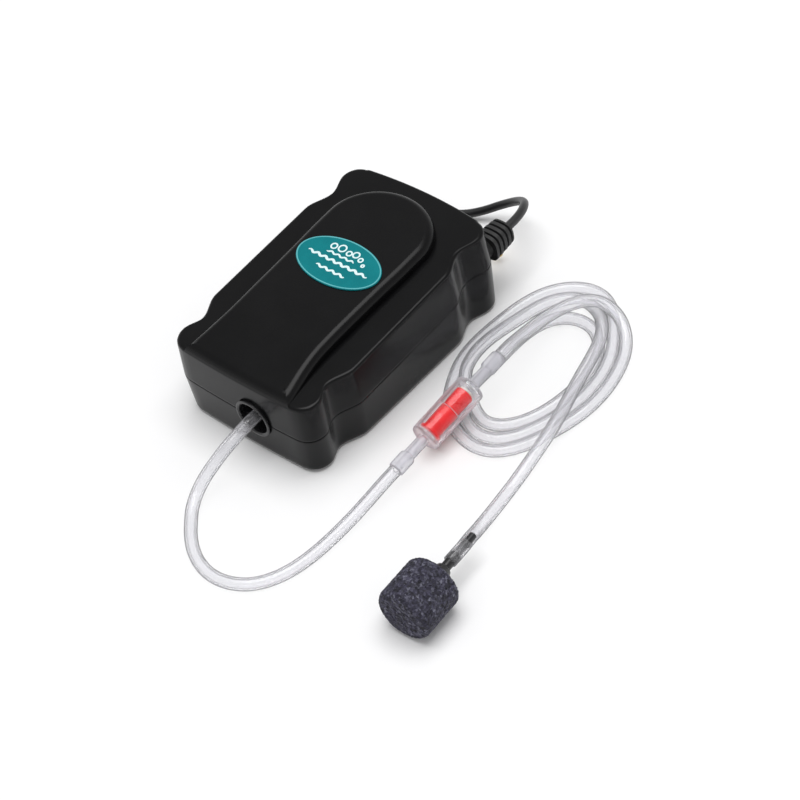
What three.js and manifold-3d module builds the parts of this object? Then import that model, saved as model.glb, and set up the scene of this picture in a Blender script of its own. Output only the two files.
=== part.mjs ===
// Aquarium air pump with its airline, check valve, air stone and mains lead.
// Millimetres. +Z up, X across the pump, Y along it: the air outlet faces -Y, the mains lead leaves at +Y.
// Origin: centre of the pump's footprint, on the surface it stands on.
import * as THREE from 'three';
import { mergeVertices } from 'three/addons/utils/BufferGeometryUtils.js';
import Module from 'manifold-3d';

const wasm = await Module();
wasm.setup();

// ---------------------------------------------------------------- driving dimensions
const LEN = 130;            // case length, flat faces
const HL = LEN / 2;
const W_FRONT = 42.3;       // half width at the front lobes
const W_VALLEY_F = 38.9;    // half width in the front grooves
const W_MID = 43.7;         // half width of the long side panels
const W_VALLEY_B = 38.8;    // half width in the back grooves
const W_BACK = 41.9;        // half width at the back lobes
const R_FRONT = 8.7, R_BACK = 8.6;
const BOW_FRONT = 1.0, BOW_BACK = 2.7;
const WALL = 2.4;
const GAP = 0.3;
const Z_BASE = 1.2;                       // underside of the case, feet stand below it
const PART_F = 21.3, PART_B = 28.0;       // height of the joint between the halves, front and back
const TOP_F = 41.0, TOP_B = 48.1;         // height of the side shelf, front and back
const OUT = { x: 7.5, z: 21.2 };          // air outlet
const BOOT = { x: 32, z: 27.6 };          // strain relief
const ARM_X = -6;                         // swing arm centre line
const PIVOT_Y = -44, ARM_Z = 26.8;        // swing arm pivot
const DIA_Y = -12;                        // diaphragm axis
const TUBE_R = 3, LEAD_R = 2.1;

const planeZ = (f, b) => (y) => f + (b - f) * (y + HL) / LEN;
const zPart = planeZ(PART_F, PART_B), zTop = planeZ(TOP_F, TOP_B);

// ---------------------------------------------------------------- materials
const mats = {};
const mat = (color, roughness, metalness = 0, extra = {}) => new THREE.MeshStandardMaterial({ color, roughness, metalness, ...extra });
const M = {
  shell: () => mat(0x202022, 0.42), base: () => mat(0x242426, 0.45), rubber: () => mat(0x161616, 0.85),
  steel: () => mat(0xb9bcc0, 0.35, 1), badge: () => mat(0x00868e, 0.3), black: () => mat(0x121213, 0.5),
  felt: () => mat(0xe7e6df, 0.95), iron: () => mat(0x6f7378, 0.55, 1), copper: () => mat(0xa65a2a, 0.35, 1),
  nylon: () => mat(0xe9e6d8, 0.5), ferrite: () => mat(0x34343a, 0.6), silicone: () => mat(0xd9d7cf, 0.6),
  clear: () => mat(0xeef3f5, 0.12, 0, { transparent: true, opacity: 0.35 }), red: () => mat(0xd0101c, 0.4),
  stone: () => mat(0x464458, 0.95), wire: () => mat(0x3a5f9e, 0.5), brass: () => mat(0xc9a24a, 0.3, 1),
};

// ---------------------------------------------------------------- helpers
const group = new THREE.Group();
group.name = 'aquarium_air_pump';
const solid = (g) => {
  const c = g.clone();
  c.deleteAttribute('normal'); if (c.getAttribute('uv')) c.deleteAttribute('uv');
  const m = mergeVertices(c, 1e-4);
  return new wasm.Manifold(new wasm.Mesh({ numProp: 3, vertProperties: new Float32Array(m.attributes.position.array), triVerts: new Uint32Array(m.index.array) }));
};
const geom = (s) => {
  const m = s.getMesh();
  const g = new THREE.BufferGeometry();
  g.setAttribute('position', new THREE.BufferAttribute(new Float32Array(m.vertProperties), 3));
  g.setIndex(new THREE.BufferAttribute(new Uint32Array(m.triVerts), 1));
  const f = g.toNonIndexed(); f.computeVertexNormals();
  return f;
};
const add = (name, shape, material, parent = group) => {
  const g = shape instanceof THREE.BufferGeometry ? shape : geom(shape);
  const mesh = new THREE.Mesh(g, material);
  mesh.name = name; parent.add(mesh);
  return mesh;
};
const warp = (g, fn) => {
  const p = g.attributes.position;
  for (let i = 0; i < p.count; i++) { const q = fn(p.getX(i), p.getY(i), p.getZ(i)); p.setXYZ(i, q[0], q[1], q[2]); }
  return g;
};
const shapeOf = (pts) => new THREE.Shape(pts.map(([x, y]) => new THREE.Vector2(x, y)));
const prism = (pts, z0, z1, steps = 1) => {
  const g = new THREE.ExtrudeGeometry(shapeOf(pts), { depth: z1 - z0, bevelEnabled: false, steps });
  g.translate(0, 0, z0); return g;
};
// a stack of outlines: level i of the prism takes height z(y) and the inset [x, y] of the table's row i
const stack = (pts, levels) => warp(prism(pts, 0, levels.length - 1, levels.length - 1), (x, y, z) => {
  const l = levels[Math.round(z)];
  const Y = y * (1 - l.i[1] / HL);
  return [x * (1 - l.i[0] / W_FRONT), Y, typeof l.z === 'function' ? l.z(Y) : l.z];
});
const box = (x0, x1, y0, y1, z0, z1) => { const g = new THREE.BoxGeometry(x1 - x0, y1 - y0, z1 - z0); g.translate((x0 + x1) / 2, (y0 + y1) / 2, (z0 + z1) / 2); return g; };
const B = (...a) => solid(box(...a));
const rod = (axis, r, a, b, u, v, seg = 20) => {   // cylinder along X, Y or Z from a to b
  const g = new THREE.CylinderGeometry(r, r, b - a, seg);
  if (axis === 'z') { g.rotateX(Math.PI / 2); g.translate(u, v, (a + b) / 2); }
  if (axis === 'y') { g.translate(u, (a + b) / 2, v); }
  if (axis === 'x') { g.rotateZ(Math.PI / 2); g.translate((a + b) / 2, u, v); }
  return g;
};
const R = (...a) => solid(rod(...a));
// turned piece: profile [radius, height] listed from the axis round to the axis, or as a closed loop
const lathe = (prof, seg = 20) => {
  const closed = prof[0][0] > 0;
  const p = prof.map(([r, h]) => new THREE.Vector2(r, h));
  if (closed) p.push(p[0].clone());
  let s = 0; for (let i = 0; i < p.length; i++) { const a = p[i], b = p[(i + 1) % p.length]; s += a.x * b.y - b.x * a.y; }
  if (s < 0) p.reverse();
  const g = new THREE.LatheGeometry(p, seg);
  return g;   // axis +Y
};
const latheZ = (prof, x, y, seg = 20) => { const g = lathe(prof, seg); g.rotateX(Math.PI / 2); g.translate(x, y, 0); return g; };
const latheY = (prof, x, z, seg = 20) => { const g = lathe(prof, seg); g.translate(x, 0, z); return g; };
const roundRect = (w, h, r, n = 4) => {
  const o = []; const c = [[w / 2 - r, h / 2 - r, 0], [-w / 2 + r, h / 2 - r, 90], [-w / 2 + r, -h / 2 + r, 180], [w / 2 - r, -h / 2 + r, 270]];
  for (const [cx, cy, a0] of c) for (let i = 0; i <= n; i++) { const a = (a0 + 90 * i / n) * Math.PI / 180; o.push([cx + r * Math.cos(a), cy + r * Math.sin(a)]); }
  return o;
};
const move = (pts, dx, dy) => pts.map(([x, y]) => [x + dx, y + dy]);
const ellipse = (a, b, cx, cy, n = 36) => Array.from({ length: n }, (_, i) => [cx + a * Math.cos(2 * Math.PI * i / n), cy + b * Math.sin(2 * Math.PI * i / n)]);
const disc = (r, sides) => shapeOf(Array.from({ length: sides }, (_, i) => [r * Math.cos(2 * Math.PI * i / sides), r * Math.sin(2 * Math.PI * i / sides)]));
const curve = (pts) => new THREE.CatmullRomCurve3(pts.map((p) => new THREE.Vector3(...p)), false, 'centripetal');
const tube = (pts, r, steps, sides = 8) => new THREE.ExtrudeGeometry(disc(r, sides), { steps, bevelEnabled: false, extrudePath: curve(pts) });

// ---------------------------------------------------------------- case outline
const hermite = (x0, x1, t) => x0 + (x1 - x0) * t * t * (3 - 2 * t);
function halfOutline(n) {   // n = points per corner and per groove flank
  const right = [];
  for (let i = 0; i <= n; i++) { const a = i / n * Math.PI / 2; right.push([W_FRONT - R_FRONT + R_FRONT * Math.sin(a), -HL + R_FRONT - R_FRONT * Math.cos(a)]); }
  const f1 = -46.5, f2 = -32.5, b1 = 45.2, b2 = 31.0;
  for (let i = 1; i < n; i++) { const t = i / (n - 1); right.push([hermite(W_FRONT, W_VALLEY_F, t), -HL + R_FRONT + t * (f1 + HL - R_FRONT)]); }
  for (let i = 1; i <= n; i++) { const t = i / n; right.push([hermite(W_VALLEY_F, W_MID, t), f1 + t * (f2 - f1)]); }
  for (const y of [-12, 10]) right.push([W_MID, y]);
  for (let i = 0; i <= n; i++) { const t = i / n; right.push([hermite(W_MID, W_VALLEY_B, t), b2 + t * (b1 - b2)]); }
  for (let i = 1; i < n; i++) { const t = i / (n - 1); right.push([hermite(W_VALLEY_B, W_BACK, t), b1 + t * (HL - R_BACK - b1)]); }
  for (let i = 1; i <= n; i++) { const a = i / n * Math.PI / 2; right.push([W_BACK - R_BACK + R_BACK * Math.cos(a), HL - R_BACK + R_BACK * Math.sin(a)]); }
  return right;
}
const bow = ([x, y]) => {
  const u = Math.max(0, 1 - (x / 38) ** 2);
  if (y < -HL + 0.01) return [x, y - BOW_FRONT * u];
  if (y > HL - 0.01) return [x, y + BOW_BACK * u];
  return [x, y];
};
const outline = (n, across) => {
  const side = halfOutline(n);
  return [...across.map((x) => [x, -HL]), ...side, ...across.slice().reverse().map((x) => [x, HL]), ...side.slice().reverse().map(([x, y]) => [-x, y])].map(bow);
};
const OUTLINE = outline(6, [-24, -16, -8, 0, 8, 16, 24]);
const INNER = outline(3, [-20, -8, 8, 20]);

// ---------------------------------------------------------------- raised tongue on the cover
const TONGUE_HALF = [[32.2, -70], [32.2, -65], [31, -58], [29.5, -50], [28.4, -42], [27.9, -35], [27.9, -15], [28.2, 5], [28.7, 20], [28.7, 31]];
const TONGUE = (() => {
  const r = TONGUE_HALF.slice();
  for (let i = 1; i < 12; i++) { const a = i / 12 * Math.PI / 2; r.push([28.7 * Math.cos(a), 32 + 25 * Math.sin(a)]); }
  return [...r, [0, 57], ...r.slice().reverse().map(([x, y]) => [-x, y])];
})();
const rise = (y) => { const k = [[-70, 2.2], [-65, 2.5], [-55, 3.9], [-45, 5.2], [-35, 6.0], [-22, 6.3], [60, 6.3]]; for (let i = 1; i < k.length; i++) if (y <= k[i][0]) { const t = (y - k[i - 1][0]) / (k[i][0] - k[i - 1][0]); return k[i - 1][1] + t * (k[i][1] - k[i - 1][1]); } return 6.3; };
const tongueTop = (y) => zTop(y) + rise(y);
const sideProfile = (drop, y0, y1, below) => {   // (y, z) profile turned into a prism along X
  const ys = [y0, -62, -55, -45, -35, -22, 10, 40, y1];
  const pts = [[y0, below], [y1, below], ...ys.slice().reverse().map((y) => [y, tongueTop(y) - drop])];
  const g = prism(pts, -40, 40);              // X = y, Y = z, Z = -x
  return solid(warp(g, (a, b, c) => [c, a, b]));
};
const inset = (pts, d) => pts.map(([x, y]) => [x * (1 - d / 28.7), y > 30 ? y - d * (y - 30) / 27 : y]);
const tongueOuter = (() => {
  const body = solid(prism(TONGUE, 30, 60)).intersect(sideProfile(0, -65.9, 60, 34));
  // rounded upper edge: a slightly smaller outline reaches the top, the full one stops below it
  const low = solid(prism(TONGUE, 30, 60)).intersect(sideProfile(1.0, -65.9, 60, 34));
  const mid = solid(prism(inset(TONGUE, 0.45), 30, 60)).intersect(sideProfile(0.3, -65.9, 60, 34));
  const top = solid(prism(inset(TONGUE, 1.2), 30, 60)).intersect(body);
  return low.add(mid).add(top);
})();
const tongueInner = solid(prism(inset(TONGUE, 2.4).map(([x, y]) => [x, Math.max(y, -63)]), 30, 60)).intersect(sideProfile(2.4, -63.4, 60, 34));

// ---------------------------------------------------------------- case halves
const outerUpper = solid(stack(OUTLINE, [
  { z: (y) => zPart(y) + 0.15, i: [0, 0] }, { z: (y) => (zPart(y) + zTop(y)) / 2, i: [0.2, 0.5] }, { z: (y) => zTop(y) - 1.6, i: [0.4, 0.9] },
  { z: (y) => zTop(y) - 0.8, i: [0.6, 1.1] }, { z: (y) => zTop(y) - 0.22, i: [1.1, 1.6] }, { z: zTop, i: [1.9, 2.4] }]));
const innerUpper = solid(stack(INNER, [
  { z: 10, i: [WALL, WALL] }, { z: (y) => zTop(y) - WALL, i: [WALL + 0.4, WALL + 0.9] }]));
const socketHole = R('y', 9.7, -75, -55, OUT.x, OUT.z, 32);
const bootHole = R('y', 5.0, 58, 75, BOOT.x, BOOT.z, 24);
const SCREWS = [[-33, -54.5], [33, -54.5], [-27, 56], [21, 57]];
let upper = outerUpper.add(tongueOuter).subtract(innerUpper).subtract(tongueInner);
for (const [x, y] of SCREWS) {
  const s = zPart(y) + 0.5;
  upper = upper.add(R('z', 3.4, s, zTop(y) - 1.0, x, y, 16)).subtract(R('z', 1.7, s - 1, s + 11.2, x, y, 12));
}
upper = upper.subtract(socketHole).subtract(bootHole);
// drip rib inside, behind the badge
upper = upper.add(B(-25, 25, 18, 19.6, 45.0, 50.6));
add('upper_cover', upper, M.shell());

const outerLower = solid(stack(OUTLINE, [
  { z: Z_BASE, i: [2.9, 1.5] }, { z: Z_BASE + 0.35, i: [2.2, 0.8] }, { z: Z_BASE + 1.2, i: [1.7, 0.3] }, { z: (y) => zPart(y) - 0.15, i: [0, 0] }]));
const innerLower = solid(stack(INNER, [
  { z: 3.8, i: [WALL + 1.6, WALL + 0.3] }, { z: 40, i: [WALL, WALL] }]));
let lower = outerLower.subtract(innerLower);
// locating lip that stands up inside the cover
const lip = solid(stack(INNER, [{ z: (y) => zPart(y) - 3, i: [WALL - 0.2, WALL - 0.2] }, { z: (y) => zPart(y) - 0.6, i: [WALL + 0.45, WALL + 0.45] }, { z: (y) => zPart(y) + 2.2, i: [WALL + 0.75, WALL + 0.75] }]))
  .subtract(solid(stack(INNER, [{ z: 4, i: [WALL + 1.5, WALL + 1.5] }, { z: 40, i: [WALL + 1.9, WALL + 1.9] }])));
lower = lower.add(lip);
const FEET = [[-31, -40], [31, -40], [-31, 42], [31, 42]];
for (const [x, y] of SCREWS) lower = lower.add(R('z', 3.6, 3.5, zPart(y) + 0.1, x, y, 16)).subtract(R('z', 3.4, 0, 5.0, x, y, 16)).subtract(R('z', 1.9, 0, 40, x, y, 12));
for (const [x, y] of SCREWS) lower = lower.subtract(R('z', 3.8, zPart(y) + 0.1, zPart(y) + 4, x, y, 12));
for (const [x, y] of FEET) lower = lower.subtract(R('z', 2.4, 0, 10, x, y, 16));
// ribs that carry the core, arm post, filter pocket, cord clamp posts
lower = lower.add(B(ARM_X - 7, ARM_X + 7, 35, 37, 3.5, 6.7)).add(B(ARM_X - 7, ARM_X + 7, 55.8, 58.8, 3.5, 6.7));
for (const d of [-12.4, 12.4]) lower = lower.add(B(ARM_X + d - 2.9, ARM_X + d + 2.9, 55, 59.6, 3.5, 5.3)).subtract(R('z', 1.7, 3.9, 8, ARM_X + d, 57.3, 12));
const post = B(ARM_X - 10.5, ARM_X + 10.5, -53, -39.2, 3.5, 33.5).subtract(B(ARM_X - 8.3, ARM_X + 8.3, -50.5, -37, 21.4, 40)).subtract(B(ARM_X - 5.9, ARM_X + 5.9, -60, -30, 23.5, 40)).subtract(B(ARM_X - 8, ARM_X + 8, -50.5, -37, 3.5, 18));
lower = lower.add(post);
const FILT = { x: 26, y: -15 };
lower = lower.subtract(B(FILT.x - 10.3, FILT.x + 10.3, FILT.y - 8.3, FILT.y + 8.3, 0, 8)).subtract(B(FILT.x - 12.3, FILT.x + 12.3, FILT.y - 10.3, FILT.y + 10.3, 0, 2.7));
lower = lower.add(B(21.4, 25.0, 48.6, 53.0, 3.5, 24.5)).add(B(31.8, 35.2, 48.6, 53.0, 3.5, 24.5)).add(B(21.4, 35.2, 50, 52, 3.5, 20));
lower = lower.subtract(socketHole).subtract(bootHole).subtract(R('y', 6.4, 50, 60.5, BOOT.x, BOOT.z, 20)).subtract(R('y', 10.0, -63.2, -54, OUT.x, OUT.z, 24));
add('lower_case', lower.subtract(B(-100, 100, -100, 100, -5, Z_BASE)), M.base());

// ---------------------------------------------------------------- badge
const badgeTilt = (pts, z0, z1) => warp(prism(pts, 0, 1), (x, y, z) => [x, y, tongueTop(y) + z0 + z * (z1 - z0)]);
add('badge', badgeTilt(ellipse(23.4, 13.3, 0, 7.2), 0.3, 1.1), M.badge());

// ---------------------------------------------------------------- feet and case screws
FEET.forEach(([x, y], i) => add(`foot_${i + 1}`, latheZ([[0, 0], [5.2, 0], [5.6, 0.4], [5.6, 0.9], [2.0, 0.9], [2.0, 4.2], [3.2, 4.5], [2.6, 6.4], [0, 6.4]], x, y, 16), M.rubber()));
SCREWS.forEach(([x, y], i) => { const s = zPart(y); add(`case_screw_${i + 1}`, solid(latheZ([[0, 2.2], [2.9, 2.2], [3.0, 2.7], [3.0, 4.6], [1.4, 4.7], [1.4, s + 10], [0, s + 10.8]], x, y, 12)).subtract(B(x - 2.2, x + 2.2, y - 0.4, y + 0.4, 0, 3.3)).subtract(B(x - 0.4, x + 0.4, y - 2.2, y + 2.2, 0, 3.3)), M.steel()); });

// ---------------------------------------------------------------- air outlet
add('outlet_ring', latheY([[3.4, -56.6], [9.4, -56.6], [9.4, -66.35], [10.4, -66.4], [10.5, -67.3], [10.1, -67.7], [8.9, -67.7], [8.2, -66.8], [8.2, -58.2], [3.4, -58.2]], OUT.x, OUT.z, 26), M.black());
add('outlet_nozzle', latheY([[0.9, -53.3], [2.2, -53.3], [2.2, -54.9], [5.2, -54.9], [5.2, -56.3], [3.0, -56.3], [3.0, -60.8], [2.4, -61.0], [2.4, -63.2], [0.9, -63.2]], OUT.x, OUT.z, 16), M.black());

// ---------------------------------------------------------------- strain relief and inner cord end
add('strain_relief', latheY([[2.5, 57.2], [5.2, 57.2], [5.2, 58.7], [4.7, 58.8], [4.7, 67.4], [7.2, 67.5], [7.2, 69.3], [6.2, 69.5], [6.2, 70.4], [7.1, 70.6], [7.1, 72.4], [6.0, 72.6], [6.0, 73.5], [6.9, 73.7], [6.9, 75.5], [5.8, 75.7], [5.8, 76.5], [6.7, 76.7], [6.5, 79.2], [5.6, 80.0], [2.5, 80.0]], BOOT.x, BOOT.z, 16), M.rubber());
add('cord_inner_end', tube([[BOOT.x, 79.6, BOOT.z], [BOOT.x, 66, BOOT.z], [BOOT.x, 57.6, BOOT.z], [31.2, 55, 27.4], [29.7, 52.6, 27.2], [28.7, 50, 27.0], [28.4, 46.5, 27.0]], LEAD_R, 12), M.rubber());
add('cord_clamp', solid(prism(move(roundRect(13.2, 4.2, 1.0, 2), 28.3, 50.8), 24.8, 31.4)).subtract(B(25.6, 32.9, 45, 56, 20, 29.6)), M.nylon());

// ---------------------------------------------------------------- filter
add('filter_cover', B(FILT.x - 12, FILT.x + 12, FILT.y - 10, FILT.y + 10, 1.25, 2.4).subtract([-6, -3, 0, 3, 6].map((d) => B(FILT.x - 8, FILT.x + 8, FILT.y + d - 0.6, FILT.y + d + 0.6, 0, 4)).reduce((a, b) => a.add(b))), M.base());
add('filter_felt', prism(move(roundRect(20, 16, 1.5, 3), FILT.x, FILT.y), 2.75, 6.6), M.felt());

// ---------------------------------------------------------------- electromagnet
const CX = ARM_X, CZ = 22;
const core = B(CX - 8, CX + 8, 32, 60, CZ - 15, CZ + 15).subtract(B(CX - 9, CX + 9, 30, 54, CZ + 5, CZ + 10)).subtract(B(CX - 9, CX + 9, 30, 54, CZ - 10, CZ - 5));
add('magnet_core', core, M.iron());
const bob = B(CX - 9.4, CX + 9.4, 33.5, 53.6, CZ - 6.4, CZ + 6.4).add(B(CX - 14.5, CX + 14.5, 33.5, 34.7, CZ - 9.6, CZ + 9.6)).add(B(CX - 14.5, CX + 14.5, 52.4, 53.6, CZ - 9.6, CZ + 9.6)).subtract(B(CX - 8.3, CX + 8.3, 30, 56, CZ - 5.3, CZ + 5.3));
add('bobbin', bob, M.nylon());
const wp = (w, h, r) => roundRect(w, h, r, 4);
const wind = solid(warp(prism(wp(27, 18.4, 4), 0, 1), (x, y, z) => [x + CX, 52.1 - z * 17.1, y + CZ])).subtract(solid(warp(prism(wp(19.4, 13.4, 1), 0, 1), (x, y, z) => [x + CX, 60 - z * 40, y + CZ])));
add('coil_winding', wind, M.copper());
const clamp = B(CX - 9.6, CX + 9.6, 55, 59.6, 6.9, CZ + 16.6).subtract(B(CX - 8.3, CX + 8.3, 50, 62, 0, CZ + 15.3)).add(B(CX - 15.4, CX - 8.3, 55, 59.6, 5.6, 6.9)).add(B(CX + 8.3, CX + 15.4, 55, 59.6, 5.6, 6.9));
const tabs = clamp.subtract(R('z', 1.8, 0, 10, CX - 12.4, 57.3, 12)).subtract(R('z', 1.8, 0, 10, CX + 12.4, 57.3, 12));
add('core_strap', tabs, M.steel());
[-12.4, 12.4].forEach((d, i) => add(`core_screw_${i + 1}`, latheZ([[0, 4.1], [1.4, 4.1], [1.4, 7.2], [2.7, 7.2], [2.7, 8.6], [1.6, 9.3], [0, 9.3]], CX + d, 57.3, 12), M.steel()));
add('lead_wire_1', tube([[ARM_X + 14, 46, 24], [11.5, 46, 24.6], [16, 45.2, 26.6], [21, 43.2, 28.2], [25.6, 43, 28.2], [27.6, 44.6, 27.8], [27.7, 45.9, 27.8]], 0.7, 14, 6), M.wire());
add('lead_wire_2', tube([[ARM_X + 14, 40, 19.5], [11.5, 40, 19.8], [17, 39.6, 21.6], [23, 39.8, 24.2], [27.4, 41.6, 25.8], [28.8, 44.2, 26.2], [28.8, 45.9, 26.2]], 0.7, 14, 6), M.wire());

// ---------------------------------------------------------------- swing arm, magnet and its rubber mount
const armShape = [[-47.5, 26.0], [24.4, 26.0], [24.4, 13.5], [26.0, 13.5], [26.0, 27.6], [-47.5, 27.6]];
const arm = solid(warp(prism(armShape, -5, 5), (a, b, c) => [c + ARM_X, a, b])).subtract(R('z', 1.9, 20, 30, ARM_X, DIA_Y, 14));
add('swing_arm', arm, M.steel());
add('arm_magnet', B(ARM_X - 6.5, ARM_X + 6.5, 26.3, 29.5, 14.5, 29.5), M.ferrite());
add('arm_mount', B(ARM_X - 8, ARM_X + 8, -50.2, -40, 21.7, 32.5).subtract(B(ARM_X - 5.4, ARM_X + 5.4, -48.2, -39, 25.6, 28.0)), M.rubber());

// ---------------------------------------------------------------- pump head, from the floor up
const HX = ARM_X, HY = DIA_Y, S = 17;
const holes = (m) => m.subtract(R('z', 1.7, 0, 30, HX - 14, HY + 14, 12)).subtract(R('z', 1.7, 0, 30, HX + 14, HY - 14, 12));
let head = B(HX - S, HX + S, HY - S, HY + S, 4.1, 9.5).subtract(B(HX - 11, HX - 1, HY - 9, HY + 9, 5.6, 12)).subtract(B(HX + 1, HX + 11, HY - 9, HY + 9, 5.6, 12));
head = head.subtract(B(HX - 30, HX - 10, HY - 3, HY + 3, 6.4, 8.6)).add(R('y', 2.4, HY - S - 2.2, HY - S + 1, HX + 8, 7.0, 12)).subtract(R('y', 1.2, HY - S - 5, HY - 8.5, HX + 8, 7.0, 8));
add('pump_head', holes(head), M.nylon());
add('valve_plate', holes(B(HX - S, HX + S, HY - S, HY + S, 9.8, 12.3).subtract(R('z', 2.2, 0, 20, HX - 6, HY, 12)).subtract(R('z', 2.2, 0, 20, HX + 6, HY, 12))), M.nylon());
add('inlet_flap', prism(move(roundRect(8, 7, 1.2, 2), HX - 5.4, HY), 12.6, 13.3), M.silicone());
add('outlet_flap', prism(move(roundRect(8, 7, 1.2, 2), HX + 6, HY), 8.8, 9.5), M.silicone());
add('chamber_ring', holes(B(HX - S, HX + S, HY - S, HY + S, 12.6, 16.4).subtract(R('z', 11, 0, 30, HX, HY, 32))), M.nylon());
add('diaphragm', latheZ([[1.7, 21.7], [7.0, 21.7], [9.0, 20.4], [9.8, 17.8], [11.4, 16.7], [15.6, 16.7], [15.6, 17.8], [12.0, 17.8], [11.0, 18.6], [10.2, 21.2], [7.6, 23.0], [1.7, 23.0]], HX, HY, 22), M.silicone());
add('diaphragm_clamp', holes(B(HX - S, HX + S, HY - S, HY + S, 18.1, 19.6).subtract(R('z', 13, 0, 30, HX, HY, 32))), M.steel());
add('diaphragm_washer', latheZ([[1.7, 23.3], [6.2, 23.3], [6.2, 24.3], [3.4, 25.7], [1.7, 25.7]], HX, HY, 20), M.steel());
add('diaphragm_screw', solid(latheZ([[0, 21.0], [1.35, 21.0], [1.35, 28.0], [3.2, 28.0], [3.2, 29.4], [2.2, 30.2], [0, 30.2]], HX, HY, 14)).subtract(B(HX - 2.4, HX + 2.4, HY - 0.4, HY + 0.4, 29.2, 32)), M.steel());
[[-14, 14], [14, -14]].forEach(([a, b], i) => add(`head_screw_${i + 1}`, latheZ([[0, 4.3], [1.4, 4.3], [1.4, 19.9], [2.9, 19.9], [2.9, 21.3], [1.9, 22.0], [0, 22.0]], HX + a, HY + b, 12), M.steel()));
add('inner_hose', tube([[2, -31.75, 7.0], [2.25, -33.6, 7.0], [5.4, -35.6, 7.1], [9.0, -39.4, 8.2], [10.6, -44, 12.2], [9.9, -48, 17.4], [8.2, -50.4, 20.4], [OUT.x, -51.6, 21.1], [OUT.x, -52.9, 21.2]], 2.4, 18), M.silicone());

// ---------------------------------------------------------------- airline, check valve and air stone on the surface
const T1 = [[7.5, -63.5, 21.2], [7.5, -70, 21.0], [7.4, -77, 20.0], [6.6, -84.5, 17.6], [5.3, -91.5, 13.8], [4.2, -98, 9.6], [4.6, -104.2, 6.1], [7.2, -110.6, 4.0], [12.2, -117.0, 3.2], [17.4, -122.4, 3.1], [23.6, -127.2, 3.1], [30.1, -130.6, 3.1], [37.1, -132.6, 3.1], [44.0, -132.8, 3.1], [50.6, -131.2, 3.1], [56.6, -128.0, 3.1], [61.2, -123.6, 3.1], [64.8, -118, 3.1], [67.4, -111.6, 3.1], [69.2, -104, 3.1], [70.3, -95, 3.2], [70.9, -85, 3.6], [71.5, -74.6, 4.8], [72.2, -64, 6.9], [72.6, -55, 8.6], [72.75, -47.9, 9.42]];
add('airline_tube', tube(T1, TUBE_R, 32, 8), M.clear());

const VALVE = { c: [73.25, -11.8, 13.4], yaw: -0.8, pitch: 6.3 };   // centre, turned about Z, lifted toward +Y
const valve = new THREE.Group();
valve.position.set(...VALVE.c);
valve.rotation.set(VALVE.pitch * Math.PI / 180, 0, VALVE.yaw * Math.PI / 180, 'ZYX');
group.add(valve);
// local +Y runs from the lower barb to the upper barb
add('valve_lower_half', lathe([[1.3, -36], [3.3, -36], [3.7, -35.2], [3.7, -27.6], [2.8, -26.6], [2.8, -16.4], [6.5, -16.1], [7.0, -15.4], [7.0, -0.6], [5.7, -0.6], [5.7, -14.4], [1.3, -14.6]], 16), M.clear(), valve);
add('valve_upper_half', lathe([[1.3, 36], [3.3, 36], [3.7, 35.2], [3.7, 27.6], [2.8, 26.6], [2.8, 16.4], [6.5, 16.1], [7.0, 15.4], [7.0, -0.3], [5.7, -0.3], [5.7, 14.4], [1.3, 14.6]], 16), M.clear(), valve);
add('valve_insert', lathe([[1.4, -12.4], [4.4, -12.4], [4.8, -11.8], [4.8, 11.4], [3.4, 11.4], [3.4, -10.6], [1.4, -10.8]], 18), M.red(), valve);
add('valve_disc', lathe([[0, 11.7], [3.8, 11.7], [3.8, 12.7], [0, 12.7]], 18), M.silicone(), valve);

const LEADIN = [[73.77, 24.4, 17.4], [73.65, 28.5, 17.5], [73.2, 33, 16.9], [72.3, 37.8, 15.2], [71.5, 43, 13.3], [71.1, 48, 12.3]];
// oval coil: one ring of the coil's outer shape, lower where the check valve lies across it
const COIL = { cx: 85, cy: 36, a: 37.5, b: 56.5, w: 18.0, rot: 12.5 };
const oval = (a, b, n = 40) => Array.from({ length: n }, (_, i) => {
  const t = 2 * Math.PI * i / n, c = Math.cos(t), s = Math.sin(t), k = COIL.rot * Math.PI / 180;
  const x = a * Math.sign(c) * Math.abs(c) ** 0.92, y = b * Math.sign(s) * Math.abs(s) ** 0.92;
  return [COIL.cx + x * Math.cos(k) - y * Math.sin(k), COIL.cy + x * Math.sin(k) + y * Math.cos(k)];
});
const coilTop = (y) => 6.1 + 5.9 * Math.min(1, Math.max(0, (y - 16) / 26));
const coilGeo = (() => {
  const o = prism(oval(COIL.a, COIL.b), 0, 3, 3), n = prism(oval(COIL.a - COIL.w, COIL.b - COIL.w), -1, 4);
  const k = COIL.rot * Math.PI / 180;
  const shell = solid(warp(o, (x, y, z) => {
    const f = (z < 0.5 || z > 2.5) ? 0.955 : 1;
    return [COIL.cx + (x - COIL.cx) * f, COIL.cy + (y - COIL.cy) * (f === 1 ? 1 : 0.97), [0.1, 0.3, 0.82, 1][Math.round(z)] * (z > 1.5 ? coilTop(y) : coilTop(y))];
  }));
  return shell.subtract(solid(warp(n, (x, y, z) => [x, y, z * 10])));
})();
const RUN = [[110.8, 24.1, 9.2], [113.1, 16.4, 9.1], [114.9, 8.6, 8.7], [115.7, 0.8, 7.3], [116.1, -7, 5.5], [116.6, -14.8, 3.9], [117.4, -22.7, 3.2], [118.2, -30.7, 3.1], [119.3, -38.6, 3.4], [121.0, -46.2, 4.9], [123.0, -53.5, 7.4], [125.3, -60.5, 10.6], [127.2, -66.6, 12.9], [127.76, -70.7, 13.2]];
const past = (p, d) => { const a = new THREE.Vector3(...p[0]), b = new THREE.Vector3(...p[1]); return [...a.add(a.clone().sub(b).setLength(d)).toArray()]; };
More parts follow.
